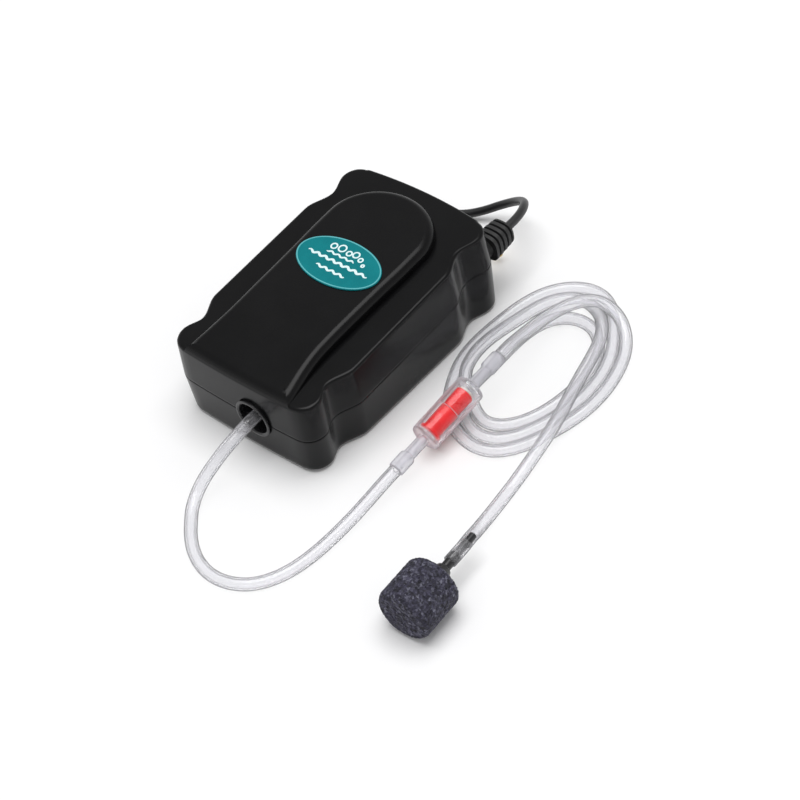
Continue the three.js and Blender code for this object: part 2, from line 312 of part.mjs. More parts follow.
const groove = solid(tube(LEADIN.concat([past(LEADIN.slice(-2).reverse(), 0.5)]), TUBE_R + 0.4, 6, 8)).add(solid(tube([past(RUN, 0.5)].concat(RUN), TUBE_R + 0.4, 14, 8)));
add('airline_lead', tube(LEADIN, TUBE_R, 6, 8), M.clear());
add('airline_coil', coilGeo.subtract(groove), M.clear());
add('airline_run', tube(RUN, TUBE_R, 18, 8), M.clear());

const stone = new THREE.Group();
stone.position.set(128.65, -85.3, 13.2);
stone.rotation.z = 3.5 * Math.PI / 180;
group.add(stone);
// local -Y is the stone's axis, from the nipple's shoulder outward
add('stone_nipple', lathe([[0, 14.2], [2.3, 14.2], [2.3, 6.2], [3.4, 5.6], [4.6, 1.6], [5.4, 0.3], [0, 0.3]], 20), M.black(), stone);
add('air_stone', lathe([[0, 0], [10.2, 0], [12.2, -0.9], [13.1, -3.0], [13.1, -21.4], [12.2, -23.5], [10.2, -24.4], [0, -24.4]], 28), M.stone(), stone);

// ---------------------------------------------------------------- mains lead, hank and plug behind the pump
const LEAD = [[32, 80.3, 27.6], [32, 85, 27.5], [31.6, 90, 27.2], [30.2, 95.6, 26.4], [27.2, 101, 24.6], [23, 105.2, 21.4], [17.6, 107.7, 17.4], [11.6, 108.1, 13.3], [5.4, 106.4, 9.6], [-0.6, 103.2, 6.5], [-6.6, 99.7, 4.3], [-12.8, 96.8, 2.9], [-19.4, 94.9, 2.3], [-26, 93.3, 2.2], [-32, 91.1, 2.2], [-37.2, 88.1, 2.2], [-41, 84.9, 2.2], [-43.3, 82.1, 2.2], [-44.9, 78.5, 2.2], [-45.9, 74.6, 2.2], [-46.4, 70.7, 2.2], [-46.5, 66.7, 2.2], [-46.5, 62.7, 2.2]];
add('mains_lead', tube(LEAD, LEAD_R, 30, 8), M.rubber());
const HANK = { x: -59.4, y0: -18.9, y1: 66.8, w: 30.0 };
const stadium = (w, y0, y1, x, n = 8) => {
  const r = w / 2, o = [];
  for (let i = 0; i <= n; i++) { const a = Math.PI * i / n; o.push([x + r * Math.cos(a), y1 - r + r * Math.sin(a)]); }
  for (let i = 0; i <= n; i++) { const a = Math.PI + Math.PI * i / n; o.push([x + r * Math.cos(a), y0 + r + r * Math.sin(a)]); }
  return o;
};
const hank = solid(warp(prism(stadium(HANK.w, HANK.y0, HANK.y1, HANK.x), 0, 3, 3), (x, y, z) => {
  const top = x < HANK.x - 8 ? 12.4 : 12.7;
  return [x, y, [0.1, 2.4, 9.4, Math.max(9.5, top)][Math.round(z)]];
}));
add('mains_hank', hank.subtract(B(-90, -30, 20.4, 27.4, -1, 1.3)).subtract(B(-90, -30, 20.4, 27.4, 11.7, 20)).subtract(B(-90, -73.2, 20.4, 27.4, -1, 20)).subtract(B(-45.8, -30, 20.4, 27.4, -1, 20)), M.rubber());
add('hank_tie', B(-74.4, -44.5, 20.9, 26.9, 0.0, 12.9).subtract(B(-73.5, -45.5, 15, 35, 1.0, 12.0)), M.black());
const TAIL = [[-61.4, 69.4, 9.9], [-59.0, 72.6, 9.4], [-56.2, 75.4, 8.9], [-52.9, 77.6, 8.3], [-49.3, 79.2, 7.8], [-45.5, 80.1, 7.2], [-41.6, 80.2, 6.6], [-37.6, 79.9, 6.5], [-33.6, 79.5, 6.7], [-30.6, 79.5, 6.7]];
add('mains_tail', tube(TAIL, LEAD_R, 10, 8), M.rubber());
const plugX = (prof, seg = 16) => { const g = lathe(prof, seg); g.rotateZ(-Math.PI / 2); g.translate(0, 79.5, 6.7); return g; };
add('plug_relief', plugX([[0, -30.1], [2.6, -30.1], [3.0, -26], [3.9, -19.2], [0, -19.2]]), M.rubber());
let plugBody = solid(warp(prism(roundRect(19.6, 12.8, 4.2, 4), 0, 3, 3), (a, b, c) => {
  const k = [0.66, 0.9, 1, 0.97][Math.round(c)];
  return [[-18.9, -14, -4, 8][Math.round(c)], 79.5 + a * k, 6.7 + b * (k === 0.66 ? 0.75 : k)];
}));
add('plug_body', plugBody, M.black());
[-5.2, 5.2].forEach((d, i) => add(`plug_blade_${i + 1}`, solid(box(8.3, 23.6, 79.5 + d - 0.75, 79.5 + d + 0.75, 3.5, 9.8)).subtract(R('y', 1.5, 70, 90, 20.2, 6.7, 12)), M.brass()));

export default group;
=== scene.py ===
import math

import bmesh
import bpy
from mathutils import Matrix, Vector, noise


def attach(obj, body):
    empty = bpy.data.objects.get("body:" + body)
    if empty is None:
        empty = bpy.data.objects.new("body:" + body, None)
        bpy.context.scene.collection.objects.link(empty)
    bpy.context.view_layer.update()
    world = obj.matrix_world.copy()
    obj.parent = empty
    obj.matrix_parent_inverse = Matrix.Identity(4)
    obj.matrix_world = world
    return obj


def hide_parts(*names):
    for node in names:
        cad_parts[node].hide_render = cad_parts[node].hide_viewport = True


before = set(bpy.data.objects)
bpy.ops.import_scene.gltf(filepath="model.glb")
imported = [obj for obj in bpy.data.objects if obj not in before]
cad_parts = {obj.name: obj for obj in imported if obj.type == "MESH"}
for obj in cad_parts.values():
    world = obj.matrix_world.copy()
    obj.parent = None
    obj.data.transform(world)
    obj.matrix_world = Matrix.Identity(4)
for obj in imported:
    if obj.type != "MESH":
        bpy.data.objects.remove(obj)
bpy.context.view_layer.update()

MM = 0.001
noise.seed_set(7)

# ------------------------------------------------------------------ camera
cam_data = bpy.data.cameras.new("camera")
cam_data.sensor_fit = "HORIZONTAL"
cam_data.sensor_width = 36.0
cam_data.lens = 109.5686
cam_data.clip_start = 0.01
cam_data.clip_end = 20.0
cam = bpy.data.objects.new("camera", cam_data)
bpy.context.scene.collection.objects.link(cam)
RIGHT = Vector((0.7471094558, 0.6462318299, -0.1556016809))
UP = Vector((-0.3980192459, 0.6224201109, 0.6739242431))
BACK = Vector((0.5323609123, -0.4415627108, 0.7222286559))
cam.matrix_world = Matrix((
    (RIGHT.x, UP.x, BACK.x, 0.62349241),
    (RIGHT.y, UP.y, BACK.y, -0.49311013),
    (RIGHT.z, UP.z, BACK.z, 0.79111162),
    (0.0, 0.0, 0.0, 1.0)))
bpy.context.scene.camera = cam


# ------------------------------------------------------------------ materials
class Nodes:
    def __init__(self, name):
        self.mat = bpy.data.materials.new(name)
        self.mat.use_nodes = True
        self.t = self.mat.node_tree
        self.t.nodes.clear()
        self.out = self.t.nodes.new("ShaderNodeOutputMaterial")
        self.coord = self.t.nodes.new("ShaderNodeTexCoord").outputs["Object"]

    def new(self, kind, **values):
        n = self.t.nodes.new(kind)
        for k, v in values.items():
            if k in n.inputs:
                n.inputs[k].default_value = v
            else:
                setattr(n, k, v)
        return n

    def link(self, a, b):
        self.t.links.new(a, b)

    def noise(self, scale, detail=3.0, rough=0.5, coord=None):
        n = self.new("ShaderNodeTexNoise")
        n.inputs["Scale"].default_value = scale
        n.inputs["Detail"].default_value = detail
        n.inputs["Roughness"].default_value = rough
        self.link(coord or self.coord, n.inputs["Vector"])
        return n.outputs["Fac"]

    def stretch(self, scale):
        m = self.new("ShaderNodeMapping")
        m.inputs["Scale"].default_value = scale
        self.link(self.coord, m.inputs["Vector"])
        return m.outputs["Vector"]

    def ramp(self, fac, stops):
        r = self.new("ShaderNodeValToRGB")
        e = r.color_ramp.elements
        while len(e) < len(stops):
            e.new(0.5)
        for el, (pos, col) in zip(e, stops):
            el.position = pos
            el.color = (*col, 1.0) if len(col) == 3 else col
        self.link(fac, r.inputs["Fac"])
        return r.outputs["Color"]

    def span(self, fac, lo, hi, a=0.3, b=0.7):
        m = self.new("ShaderNodeMapRange")
        m.inputs["From Min"].default_value = a
        m.inputs["From Max"].default_value = b
        m.inputs["To Min"].default_value = lo
        m.inputs["To Max"].default_value = hi
        self.link(fac, m.inputs["Value"])
        return m.outputs["Result"]

    def math(self, op, a, b):
        m = self.new("ShaderNodeMath", operation=op)
        for i, v in enumerate((a, b)):
            if isinstance(v, (int, float)):
                m.inputs[i].default_value = v
            else:
                self.link(v, m.inputs[i])
        return m.outputs["Value"]

    def bump(self, height, distance, strength=1.0, chain=None):
        b = self.new("ShaderNodeBump")
        b.inputs["Distance"].default_value = distance
        b.inputs["Strength"].default_value = strength
        self.link(height, b.inputs["Height"])
        if chain is not None:
            self.link(chain, b.inputs["Normal"])
        return b.outputs["Normal"]


def moulded(name, dark, light, rough, grain=1500.0, grain_depth=0.00003, metal=0.0, broad=70.0,
            coat=0.0, specular=0.5, sheen=0.0, waves=None, scratch=0.0, subsurface=0.0, stretch=None):
    """A solid surface: colour drift, roughness drift, fine grain, and optional ribbing or brushed scratches."""
    n = Nodes(name)
    b = n.new("ShaderNodeBsdfPrincipled")
    n.link(b.outputs["BSDF"], n.out.inputs["Surface"])
    drift = n.noise(broad, 4.0, 0.6)
    fine = n.noise(grain, 2.0, 0.5, n.stretch(stretch) if stretch else None)
    mixed = n.math("ADD", n.math("MULTIPLY", drift, 0.65), n.math("MULTIPLY", fine, 0.35))
    n.link(n.ramp(mixed, [(0.3, dark), (0.7, light)]), b.inputs["Base Color"])
    n.link(n.span(mixed, rough[0], rough[1]), b.inputs["Roughness"])
    b.inputs["Metallic"].default_value = metal
    b.inputs["Specular IOR Level"].default_value = specular
    b.inputs["Coat Weight"].default_value = coat
    b.inputs["Coat Roughness"].default_value = 0.12
    if sheen:
        b.inputs["Sheen Weight"].default_value = sheen
    if subsurface:
        b.inputs["Subsurface Weight"].default_value = subsurface
        b.inputs["Subsurface Scale"].default_value = 0.002
    nor = n.bump(fine, grain_depth, 1.0)
    if waves:
        scale, axis, depth = waves
        w = n.new("ShaderNodeTexWave", wave_type="BANDS", bands_direction=axis)
        w.inputs["Scale"].default_value = scale
        w.inputs["Distortion"].default_value = 0.4
        w.inputs["Detail"].default_value = 1.0
        n.link(n.coord, w.inputs["Vector"])
        nor = n.bump(w.outputs["Fac"], depth, 1.0, nor)
    if scratch:
        s = n.noise(scratch, 6.0, 0.7, n.stretch((1.0, 14.0, 1.0)))
        nor = n.bump(n.span(s, 0.0, 1.0, 0.6, 0.75), 0.000012, 0.6, nor)
    n.link(nor, b.inputs["Normal"])
    return n.mat


def clear(name, tint, edge, rough=0.05, ior=1.45, haze=0.0, outline_shade_mix=0.0, milk=(0.93, 0.93, 0.96), rim=(0.45, 0.45, 0.47), shadow=0.86, start=0.25, end=0.65, shine=0.5):
    """Clear plastic: refracting, with a faint milky haze; along its outline the colour is painted shade, a grey that
    deepens towards grazing view, standing in for the dark edges refraction gives; shadow and diffuse rays pass
    through.
    """
    n = Nodes(name)
    b = n.new("ShaderNodeBsdfPrincipled")
    b.inputs["Transmission Weight"].default_value = 1.0
    b.inputs["IOR"].default_value = ior
    b.inputs["Specular IOR Level"].default_value = shine
    lw = n.new("ShaderNodeLayerWeight", Blend=0.5)
    drift = n.noise(60.0, 3.0)
    facing = n.math("ADD", lw.outputs["Facing"], n.span(drift, -0.02, 0.02))
    # painted shade: the transmitted tint darkens to edge towards the outline
    n.link(n.ramp(facing, [(start, tint), (0.90, edge)]), b.inputs["Base Color"])
    n.link(n.span(drift, rough * 0.7, rough * 1.4), b.inputs["Roughness"])
    n.link(n.bump(n.noise(140.0, 2.0), 0.00002, 0.15), b.inputs["Normal"])
    # haze colour runs from milk, the plastic's own haze, to rim, a grey painted shade along the outline
    col = n.ramp(facing, [(start, milk), (0.5 * (start + end), tuple(0.5 * (p + q) for p, q in zip(milk, rim))), (end, rim)])
    d = n.new("ShaderNodeBsdfDiffuse")
    t = n.new("ShaderNodeBsdfTranslucent")
    n.link(col, d.inputs["Color"])
    n.link(col, t.inputs["Color"])
    a = n.new("ShaderNodeMixShader")
    a.inputs["Fac"].default_value = 0.5
    n.link(d.outputs["BSDF"], a.inputs[1])
    n.link(t.outputs["BSDF"], a.inputs[2])
    m = n.new("ShaderNodeMixShader")
    # the haze mix rises to its rim value at the outline, where its grey is painted shade
    n.link(n.span(facing, haze, outline_shade_mix, start, end), m.inputs["Fac"])
    n.link(b.outputs["BSDF"], m.inputs[1])
    n.link(a.outputs["Shader"], m.inputs[2])
    lp = n.new("ShaderNodeLightPath")
    tr = n.new("ShaderNodeBsdfTransparent")
    tr.inputs["Color"].default_value = (shadow, shadow, shadow, 1)
    mix = n.new("ShaderNodeMixShader")
    n.link(n.math("MAXIMUM", lp.outputs["Is Shadow Ray"], lp.outputs["Is Diffuse Ray"]), mix.inputs["Fac"])
    n.link(m.outputs["Shader"], mix.inputs[1])
    n.link(tr.outputs["BSDF"], mix.inputs[2])
    n.link(mix.outputs["Shader"], n.out.inputs["Surface"])
    return n.mat


CASE = moulded("case_black_plastic", (0.0024, 0.0024, 0.0027), (0.0042, 0.0042, 0.0046), (0.20, 0.28), specular=0.19,
               grain=2600.0, grain_depth=0.000004, broad=38.0, scratch=140.0)
RUBBER = moulded("boot_rubber", (0.010, 0.010, 0.010), (0.020, 0.020, 0.021), (0.5, 0.68), grain=1800.0, grain_depth=0.00003)
FOOT = moulded("foot_rubber", (0.012, 0.012, 0.012), (0.024, 0.023, 0.023), (0.7, 0.88), grain=1300.0, grain_depth=0.00005)
SHEATH = moulded("lead_sheath", (0.008, 0.008, 0.009), (0.016, 0.016, 0.017), (0.34, 0.48), grain=900.0, grain_depth=0.00003)
PLUG = moulded("plug_plastic", (0.010, 0.010, 0.011), (0.018, 0.018, 0.019), (0.38, 0.5), grain=1700.0, grain_depth=0.00004)
OUTLET = moulded("outlet_black", (0.007, 0.007, 0.008), (0.013, 0.013, 0.014), (0.22, 0.34), grain=1500.0, grain_depth=0.000015)
TEAL = moulded("badge_teal", (0.0, 0.158, 0.180), (0.0, 0.205, 0.228), (0.30, 0.40), grain=2200.0, grain_depth=0.000008, broad=120.0, specular=0.16)
TEAL_RIM = moulded("badge_rim", (0.075, 0.40, 0.43), (0.12, 0.48, 0.51), (0.24, 0.34), grain=2200.0, grain_depth=0.000006)
PRINT = moulded("badge_marks_white", (0.62, 0.83, 0.84), (0.80, 0.93, 0.93), (0.35, 0.5), grain=2400.0, grain_depth=0.000006)
STEEL = moulded("screw_steel", (0.40, 0.41, 0.42), (0.60, 0.60, 0.61), (0.24, 0.40), grain=1700.0, grain_depth=0.00001, metal=1.0, scratch=400.0)
SHEET = moulded("sheet_steel", (0.36, 0.37, 0.38), (0.54, 0.55, 0.56), (0.26, 0.44), grain=1200.0, grain_depth=0.00001, metal=1.0, stretch=(1, 10, 1))
IRON = moulded("core_iron", (0.13, 0.13, 0.135), (0.24, 0.235, 0.23), (0.42, 0.6), grain=1500.0, grain_depth=0.00002, metal=0.9, waves=(620.0, "X", 0.00008))
COPPER = moulded("coil_copper", (0.42, 0.125, 0.045), (0.62, 0.21, 0.08), (0.25, 0.4), grain=1400.0, grain_depth=0.00001, metal=0.9, waves=(880.0, "Y", 0.00012))
NYLON = moulded("moulded_nylon", (0.66, 0.63, 0.54), (0.78, 0.75, 0.66), (0.4, 0.56), grain=1600.0, grain_depth=0.00002, subsurface=0.15)
FERRITE = moulded("magnet_ferrite", (0.025, 0.025, 0.029), (0.05, 0.05, 0.056), (0.5, 0.66), grain=2400.0, grain_depth=0.00004)
SILICONE = moulded("silicone", (0.58, 0.57, 0.52), (0.70, 0.69, 0.64), (0.4, 0.55), grain=1200.0, grain_depth=0.00002, subsurface=0.3)
WIRE = moulded("wire_sleeve", (0.03, 0.085, 0.26), (0.05, 0.13, 0.36), (0.35, 0.5), grain=1500.0, grain_depth=0.00002)
FELT = moulded("filter_wool", (0.66, 0.65, 0.60), (0.86, 0.85, 0.81), (0.85, 0.98), grain=2600.0, grain_depth=0.0004, sheen=0.4)
BRASS = moulded("plug_brass", (0.55, 0.38, 0.12), (0.72, 0.52, 0.20), (0.2, 0.36), grain=1500.0, grain_depth=0.00001, metal=1.0, scratch=500.0)
# painted shade: the edge and rim colours below are greys painted along each outline; milk is the plastic's own haze
TUBING = clear("clear_airline", (0.968, 0.968, 0.982), (0.55, 0.55, 0.57), rough=0.05, ior=1.36, haze=0.15, outline_shade_mix=0.78, milk=(0.86, 0.855, 0.895), rim=(0.25, 0.25, 0.26), shadow=0.975, start=0.32, end=0.72, shine=0.35)
ACRYLIC = clear("clear_acrylic", (0.99, 0.985, 0.99), (0.88, 0.86, 0.89), rough=0.04, ior=1.30, haze=0.0, outline_shade_mix=0.78, milk=(0.92, 0.90, 0.945), rim=(0.60, 0.585, 0.63), shadow=0.975, start=0.20, end=0.85, shine=0.15)
ACRYLIC_TOP = clear("clear_acrylic_upper", (0.985, 0.98, 0.985), (0.88, 0.86, 0.89), rough=0.05, ior=1.30, haze=0.018, outline_shade_mix=0.78, milk=(0.92, 0.90, 0.945), rim=(0.60, 0.585, 0.63), shadow=0.975, start=0.20, end=0.85, shine=0.15)
BARB = clear("valve_barb", (0.94, 0.94, 0.96), (0.72, 0.72, 0.75), rough=0.08, ior=1.36, haze=0.38, outline_shade_mix=0.78, milk=(0.74, 0.73, 0.79), rim=(0.38, 0.375, 0.41), shadow=0.955, start=0.30, end=0.78, shine=0.35)


def valve_red():
    n = Nodes("valve_red")
    b = n.new("ShaderNodeBsdfPrincipled")
    n.link(b.outputs["BSDF"], n.out.inputs["Surface"])
    drift = n.noise(160.0, 3.0)
    n.link(n.ramp(drift, [(0.3, (0.72, 0.0, 0.003)), (0.7, (0.88, 0.0, 0.006))]), b.inputs["Base Color"])
    n.link(n.span(drift, 0.26, 0.38), b.inputs["Roughness"])
    b.inputs["Subsurface Weight"].default_value = 0.25
    b.inputs["Subsurface Scale"].default_value = 0.002
    n.link(n.bump(n.noise(1600.0, 2.0), 0.00002), b.inputs["Normal"])
    return n.mat


def stone_grit():
    """Sintered grit: blue-grey grains, lighter specks, and dark pores painted into the colour as shade."""
    n = Nodes("stone_grit")
    b = n.new("ShaderNodeBsdfPrincipled")
    n.link(b.outputs["BSDF"], n.out.inputs["Surface"])
    v = n.new("ShaderNodeTexVoronoi", feature="F1")
    v.inputs["Scale"].default_value = 1000.0
    n.link(n.coord, v.inputs["Vector"])
    grains = v.outputs["Distance"]
    tone = n.new("ShaderNodeSeparateColor")
    n.link(v.outputs["Color"], tone.inputs["Color"])
    base = n.ramp(tone.outputs["Red"], [(0.0, (0.020, 0.018, 0.034)), (0.45, (0.044, 0.041, 0.072)), (0.82, (0.084, 0.080, 0.124)), (0.98, (0.17, 0.17, 0.225))])
    # painted shade: dark patches multiplied into the colour where the pores would be shaded
    painted_pore_shade = n.ramp(n.noise(520.0, 4.0, 0.65), [(0.38, (0.22, 0.22, 0.24)), (0.58, (1.0, 1.0, 1.0))])
    mix = n.new("ShaderNodeMix", data_type="RGBA", blend_type="MULTIPLY")
    mix.inputs[0].default_value = 1.0
    n.link(base, mix.inputs[6])
    n.link(painted_pore_shade, mix.inputs[7])
    n.link(mix.outputs[2], b.inputs["Base Color"])
    b.inputs["Roughness"].default_value = 0.88
    n.link(n.span(tone.outputs["Green"], 0.55, 0.95, 0.0, 1.0), b.inputs["Roughness"])
    nor = n.bump(grains, 0.0006, 0.9)
    nor = n.bump(n.noise(700.0, 5.0, 0.7), 0.0006, 0.8, nor)
    n.link(nor, b.inputs["Normal"])
    return n.mat


RED = valve_red()
GRIT = stone_grit()

# ------------------------------------------------------------------ mesh helpers
def link(name, me, mat, angle=32.0):
    ob = bpy.data.objects.new(name, me)
    bpy.context.scene.collection.objects.link(ob)
    shade(ob, mat, angle)
    return ob


def shade(ob, mat, angle=32.0):
    me = ob.data
    me.materials.clear()
    me.materials.append(mat)
    for p in me.polygons:
        p.use_smooth = True
        p.material_index = 0
    me.set_sharp_from_angle(angle=math.radians(angle))


def solid(name, verts, faces, mat=None, angle=32.0, matrix=None):
    me = bpy.data.meshes.new(name)
    me.from_pydata([(x * MM, y * MM, z * MM) for x, y, z in verts], [], faces)
    bm = bmesh.new()
    bm.from_mesh(me)
    bmesh.ops.remove_doubles(bm, verts=bm.verts, dist=1e-7)
    if matrix is not None:
        bmesh.ops.transform(bm, matrix=matrix, verts=bm.verts)
    bmesh.ops.recalc_face_normals(bm, faces=bm.faces)
    if bm.calc_volume(signed=True) < 0:
        bmesh.ops.reverse_faces(bm, faces=bm.faces)
    bm.to_mesh(me)
    bm.free()
    return link(name, me, mat or CASE, angle)


def boolean(ob, others, op):
    col = bpy.data.collections.new("cut")
    bpy.context.scene.collection.children.link(col)
    for o in others:
        bpy.context.scene.collection.objects.unlink(o)
        col.objects.link(o)
    m = ob.modifiers.new("cut", "BOOLEAN")
    m.operation = op
    m.solver = "EXACT"
    m.operand_type = "COLLECTION"
    m.collection = col
    me = bpy.data.meshes.new_from_object(ob.evaluated_get(bpy.context.evaluated_depsgraph_get()))
    ob.modifiers.clear()
    old = ob.data
    ob.data = me
    bpy.data.meshes.remove(old)
    for o in others:
        d = o.data
        bpy.data.objects.remove(o)
        bpy.data.meshes.remove(d)
    bpy.data.collections.remove(col)
    return ob


def lathe(name, prof, seg=64, mat=None, matrix=None, angle=32.0, shape=None):
    """prof: [radius, height] round a closed loop or from axis to axis; the axis is +Y."""
    verts, rows = [], []
    for r, h in prof:
        if r < 1e-6:
            rows.append([len(verts)] * seg)
            verts.append((0.0, h, 0.0))
        else:
            row = []
            for k in range(seg):
                a = 2 * math.pi * k / seg
                s = shape(a, r, h) if shape else 1.0
                row.append(len(verts))
                verts.append((r * s * math.cos(a), h, r * s * math.sin(a)))
            rows.append(row)
    closed = prof[0][0] > 1e-6
    faces = []
    n = len(rows)
    for i in range(n if closed else n - 1):
        a, b = rows[i], rows[(i + 1) % n]
        for k in range(seg):
            q = [a[k], a[(k + 1) % seg], b[(k + 1) % seg], b[k]]
            f = [v for j, v in enumerate(q) if v != q[j - 1]]
            if len(f) > 2:
                faces.append(f)
    return solid(name, verts, faces, mat, angle, matrix)


def rounded(prof, r=0.35, steps=3, keep=()):
    """Round the corners of a closed [radius, height] profile."""
    out = []
    n = len(prof)
    for i, p in enumerate(prof):
        a, b, c = Vector(prof[i - 1]), Vector(p), Vector(prof[(i + 1) % n])
        la, lc = (a - b).length, (c - b).length
        if i in keep or p[0] < 1e-6 or min(la, lc) < 1e-6:
            out.append(tuple(b))
            continue
        d = min(r, la * 0.45, lc * 0.45)
        p0, p1 = b + (a - b) * (d / la), b + (c - b) * (d / lc)
        for s in range(steps + 1):
            t = s / steps
            q = p0 * (1 - t) ** 2 + b * 2 * t * (1 - t) + p1 * t ** 2
            out.append((max(q.x, 0.0), q.y))
    return out


def shift(x=0.0, y=0.0, z=0.0):
    return Matrix.Translation((x * MM, y * MM, z * MM))


def spline(pts, step, closed=False):
    """Centripetal Catmull-Rom through pts, resampled at equal steps (mm)."""
    p = [Vector(q) for q in pts]
    p = [p[0] * 2 - p[1]] + p + [p[-1] * 2 - p[-2]]
    fine = []
    for i in range(1, len(p) - 2):
        a, b, c, d = p[i - 1:i + 3]
        t0, t1 = 0.0, max((b - a).length, 1e-6) ** 0.5
        t2 = t1 + max((c - b).length, 1e-6) ** 0.5
        t3 = t2 + max((d - c).length, 1e-6) ** 0.5
        for k in range(16):
            s = t1 + (t2 - t1) * k / 16
            A1 = a * ((t1 - s) / (t1 - t0)) + b * ((s - t0) / (t1 - t0))
            A2 = b * ((t2 - s) / (t2 - t1)) + c * ((s - t1) / (t2 - t1))
            A3 = c * ((t3 - s) / (t3 - t2)) + d * ((s - t2) / (t3 - t2))
            B1 = A1 * ((t2 - s) / (t2 - t0)) + A2 * ((s - t0) / (t2 - t0))
            B2 = A2 * ((t3 - s) / (t3 - t1)) + A3 * ((s - t1) / (t3 - t1))
            fine.append(B1 * ((t2 - s) / (t2 - t1)) + B2 * ((s - t1) / (t2 - t1)))
    fine.append(p[-2])
    dist = [0.0]
    for i in range(1, len(fine)):
        dist.append(dist[-1] + (fine[i] - fine[i - 1]).length)
    n = max(2, int(round(dist[-1] / step)))
    out, j = [], 0
    for k in range(n + 1):
        s = dist[-1] * k / n
        while j < len(dist) - 2 and dist[j + 1] < s:
            j += 1
        f = (s - dist[j]) / max(dist[j + 1] - dist[j], 1e-9)
        out.append(fine[j].lerp(fine[j + 1], min(1.0, max(0.0, f))))
    return out


def tube(name, path, outer, inner, mat, sides=28, lip=0.25):
    """Round tube along path (mm). inner 0 makes a solid cord; the rim of an open end is eased."""
    t = [(path[min(i + 1, len(path) - 1)] - path[max(i - 1, 0)]).normalized() for i in range(len(path))]
    u = t[0].orthogonal().normalized()
    frames = []
    for i in range(len(path)):
        if i:
            axis = t[i - 1].cross(t[i])
            if axis.length > 1e-9:
                u = Matrix.Rotation(t[i - 1].angle(t[i]), 3, axis.normalized()) @ u
            u = (u - t[i] * u.dot(t[i])).normalized()
        frames.append((u.copy(), t[i].cross(u)))
    verts, rings = [], []

    def ring(i, r, push=0.0):
        a, b = frames[i]
        base = len(verts)
        c = path[i] + t[i] * push
        for k in range(sides):
            w = 2 * math.pi * k / sides
            verts.append(tuple(c + a * (r * math.cos(w)) + b * (r * math.sin(w))))
        rings.append([base + k for k in range(sides)])

    last = len(path) - 1
    ring(0, outer - lip)
    ring(0, outer, lip)
    for i in range(1, last):
        ring(i, outer)
    ring(last, outer, -lip)
    ring(last, outer - lip)
    if inner > 0:
        ring(last, inner + lip * 0.6)
        ring(last, inner, -lip)
        for i in range(last - 1, 0, -1):
            ring(i, inner)
        ring(0, inner, lip)
        ring(0, inner + lip * 0.6)
    faces = []
    n = len(rings)
    for i in range(n if inner > 0 else n - 1):
        a, b = rings[i], rings[(i + 1) % n]
        for k in range(sides):
            faces.append([a[k], a[(k + 1) % sides], b[(k + 1) % sides], b[k]])
    if inner <= 0:
        faces.append(list(reversed(rings[0])))
        faces.append(list(rings[-1]))
    return solid(name, verts, faces, mat, 50.0)


def metres(path, every=3):
    keep = path[::every]
    if (keep[-1] - path[-1]).length > 1e-6:
        keep.append(path[-1])
    return [(p.x * MM, p.y * MM, p.z * MM) for p in keep]


def put(ob, body, slot, *nodes):
    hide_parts(*nodes)
    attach(ob, body)
    return ob


# ------------------------------------------------------------------ cords
TUBE_1 = [
    (7.50, -57.60, 21.20), (7.50, -63.50, 21.20), (7.50, -70.00, 21.00), (7.40, -77.00, 20.00), (6.60, -84.50, 17.60), (5.30, -91.50, 13.80),
    (4.20, -98.00, 9.60), (4.60, -104.20, 6.10), (7.20, -110.60, 4.00), (12.20, -117.00, 3.20), (17.40, -122.40, 3.10), (23.60, -127.20, 3.10),
    (30.10, -130.60, 3.10), (37.10, -132.60, 3.10), (44.00, -132.80, 3.10), (50.60, -131.20, 3.10), (56.60, -128.00, 3.10), (61.20, -123.60, 3.10),
    (64.80, -118.00, 3.10), (67.40, -111.60, 3.10), (69.20, -104.00, 3.10), (70.30, -95.00, 3.20), (70.90, -85.00, 3.60), (71.50, -74.60, 4.80),
    (72.20, -64.00, 6.90), (72.60, -55.00, 8.60), (72.75, -47.90, 9.42),
]
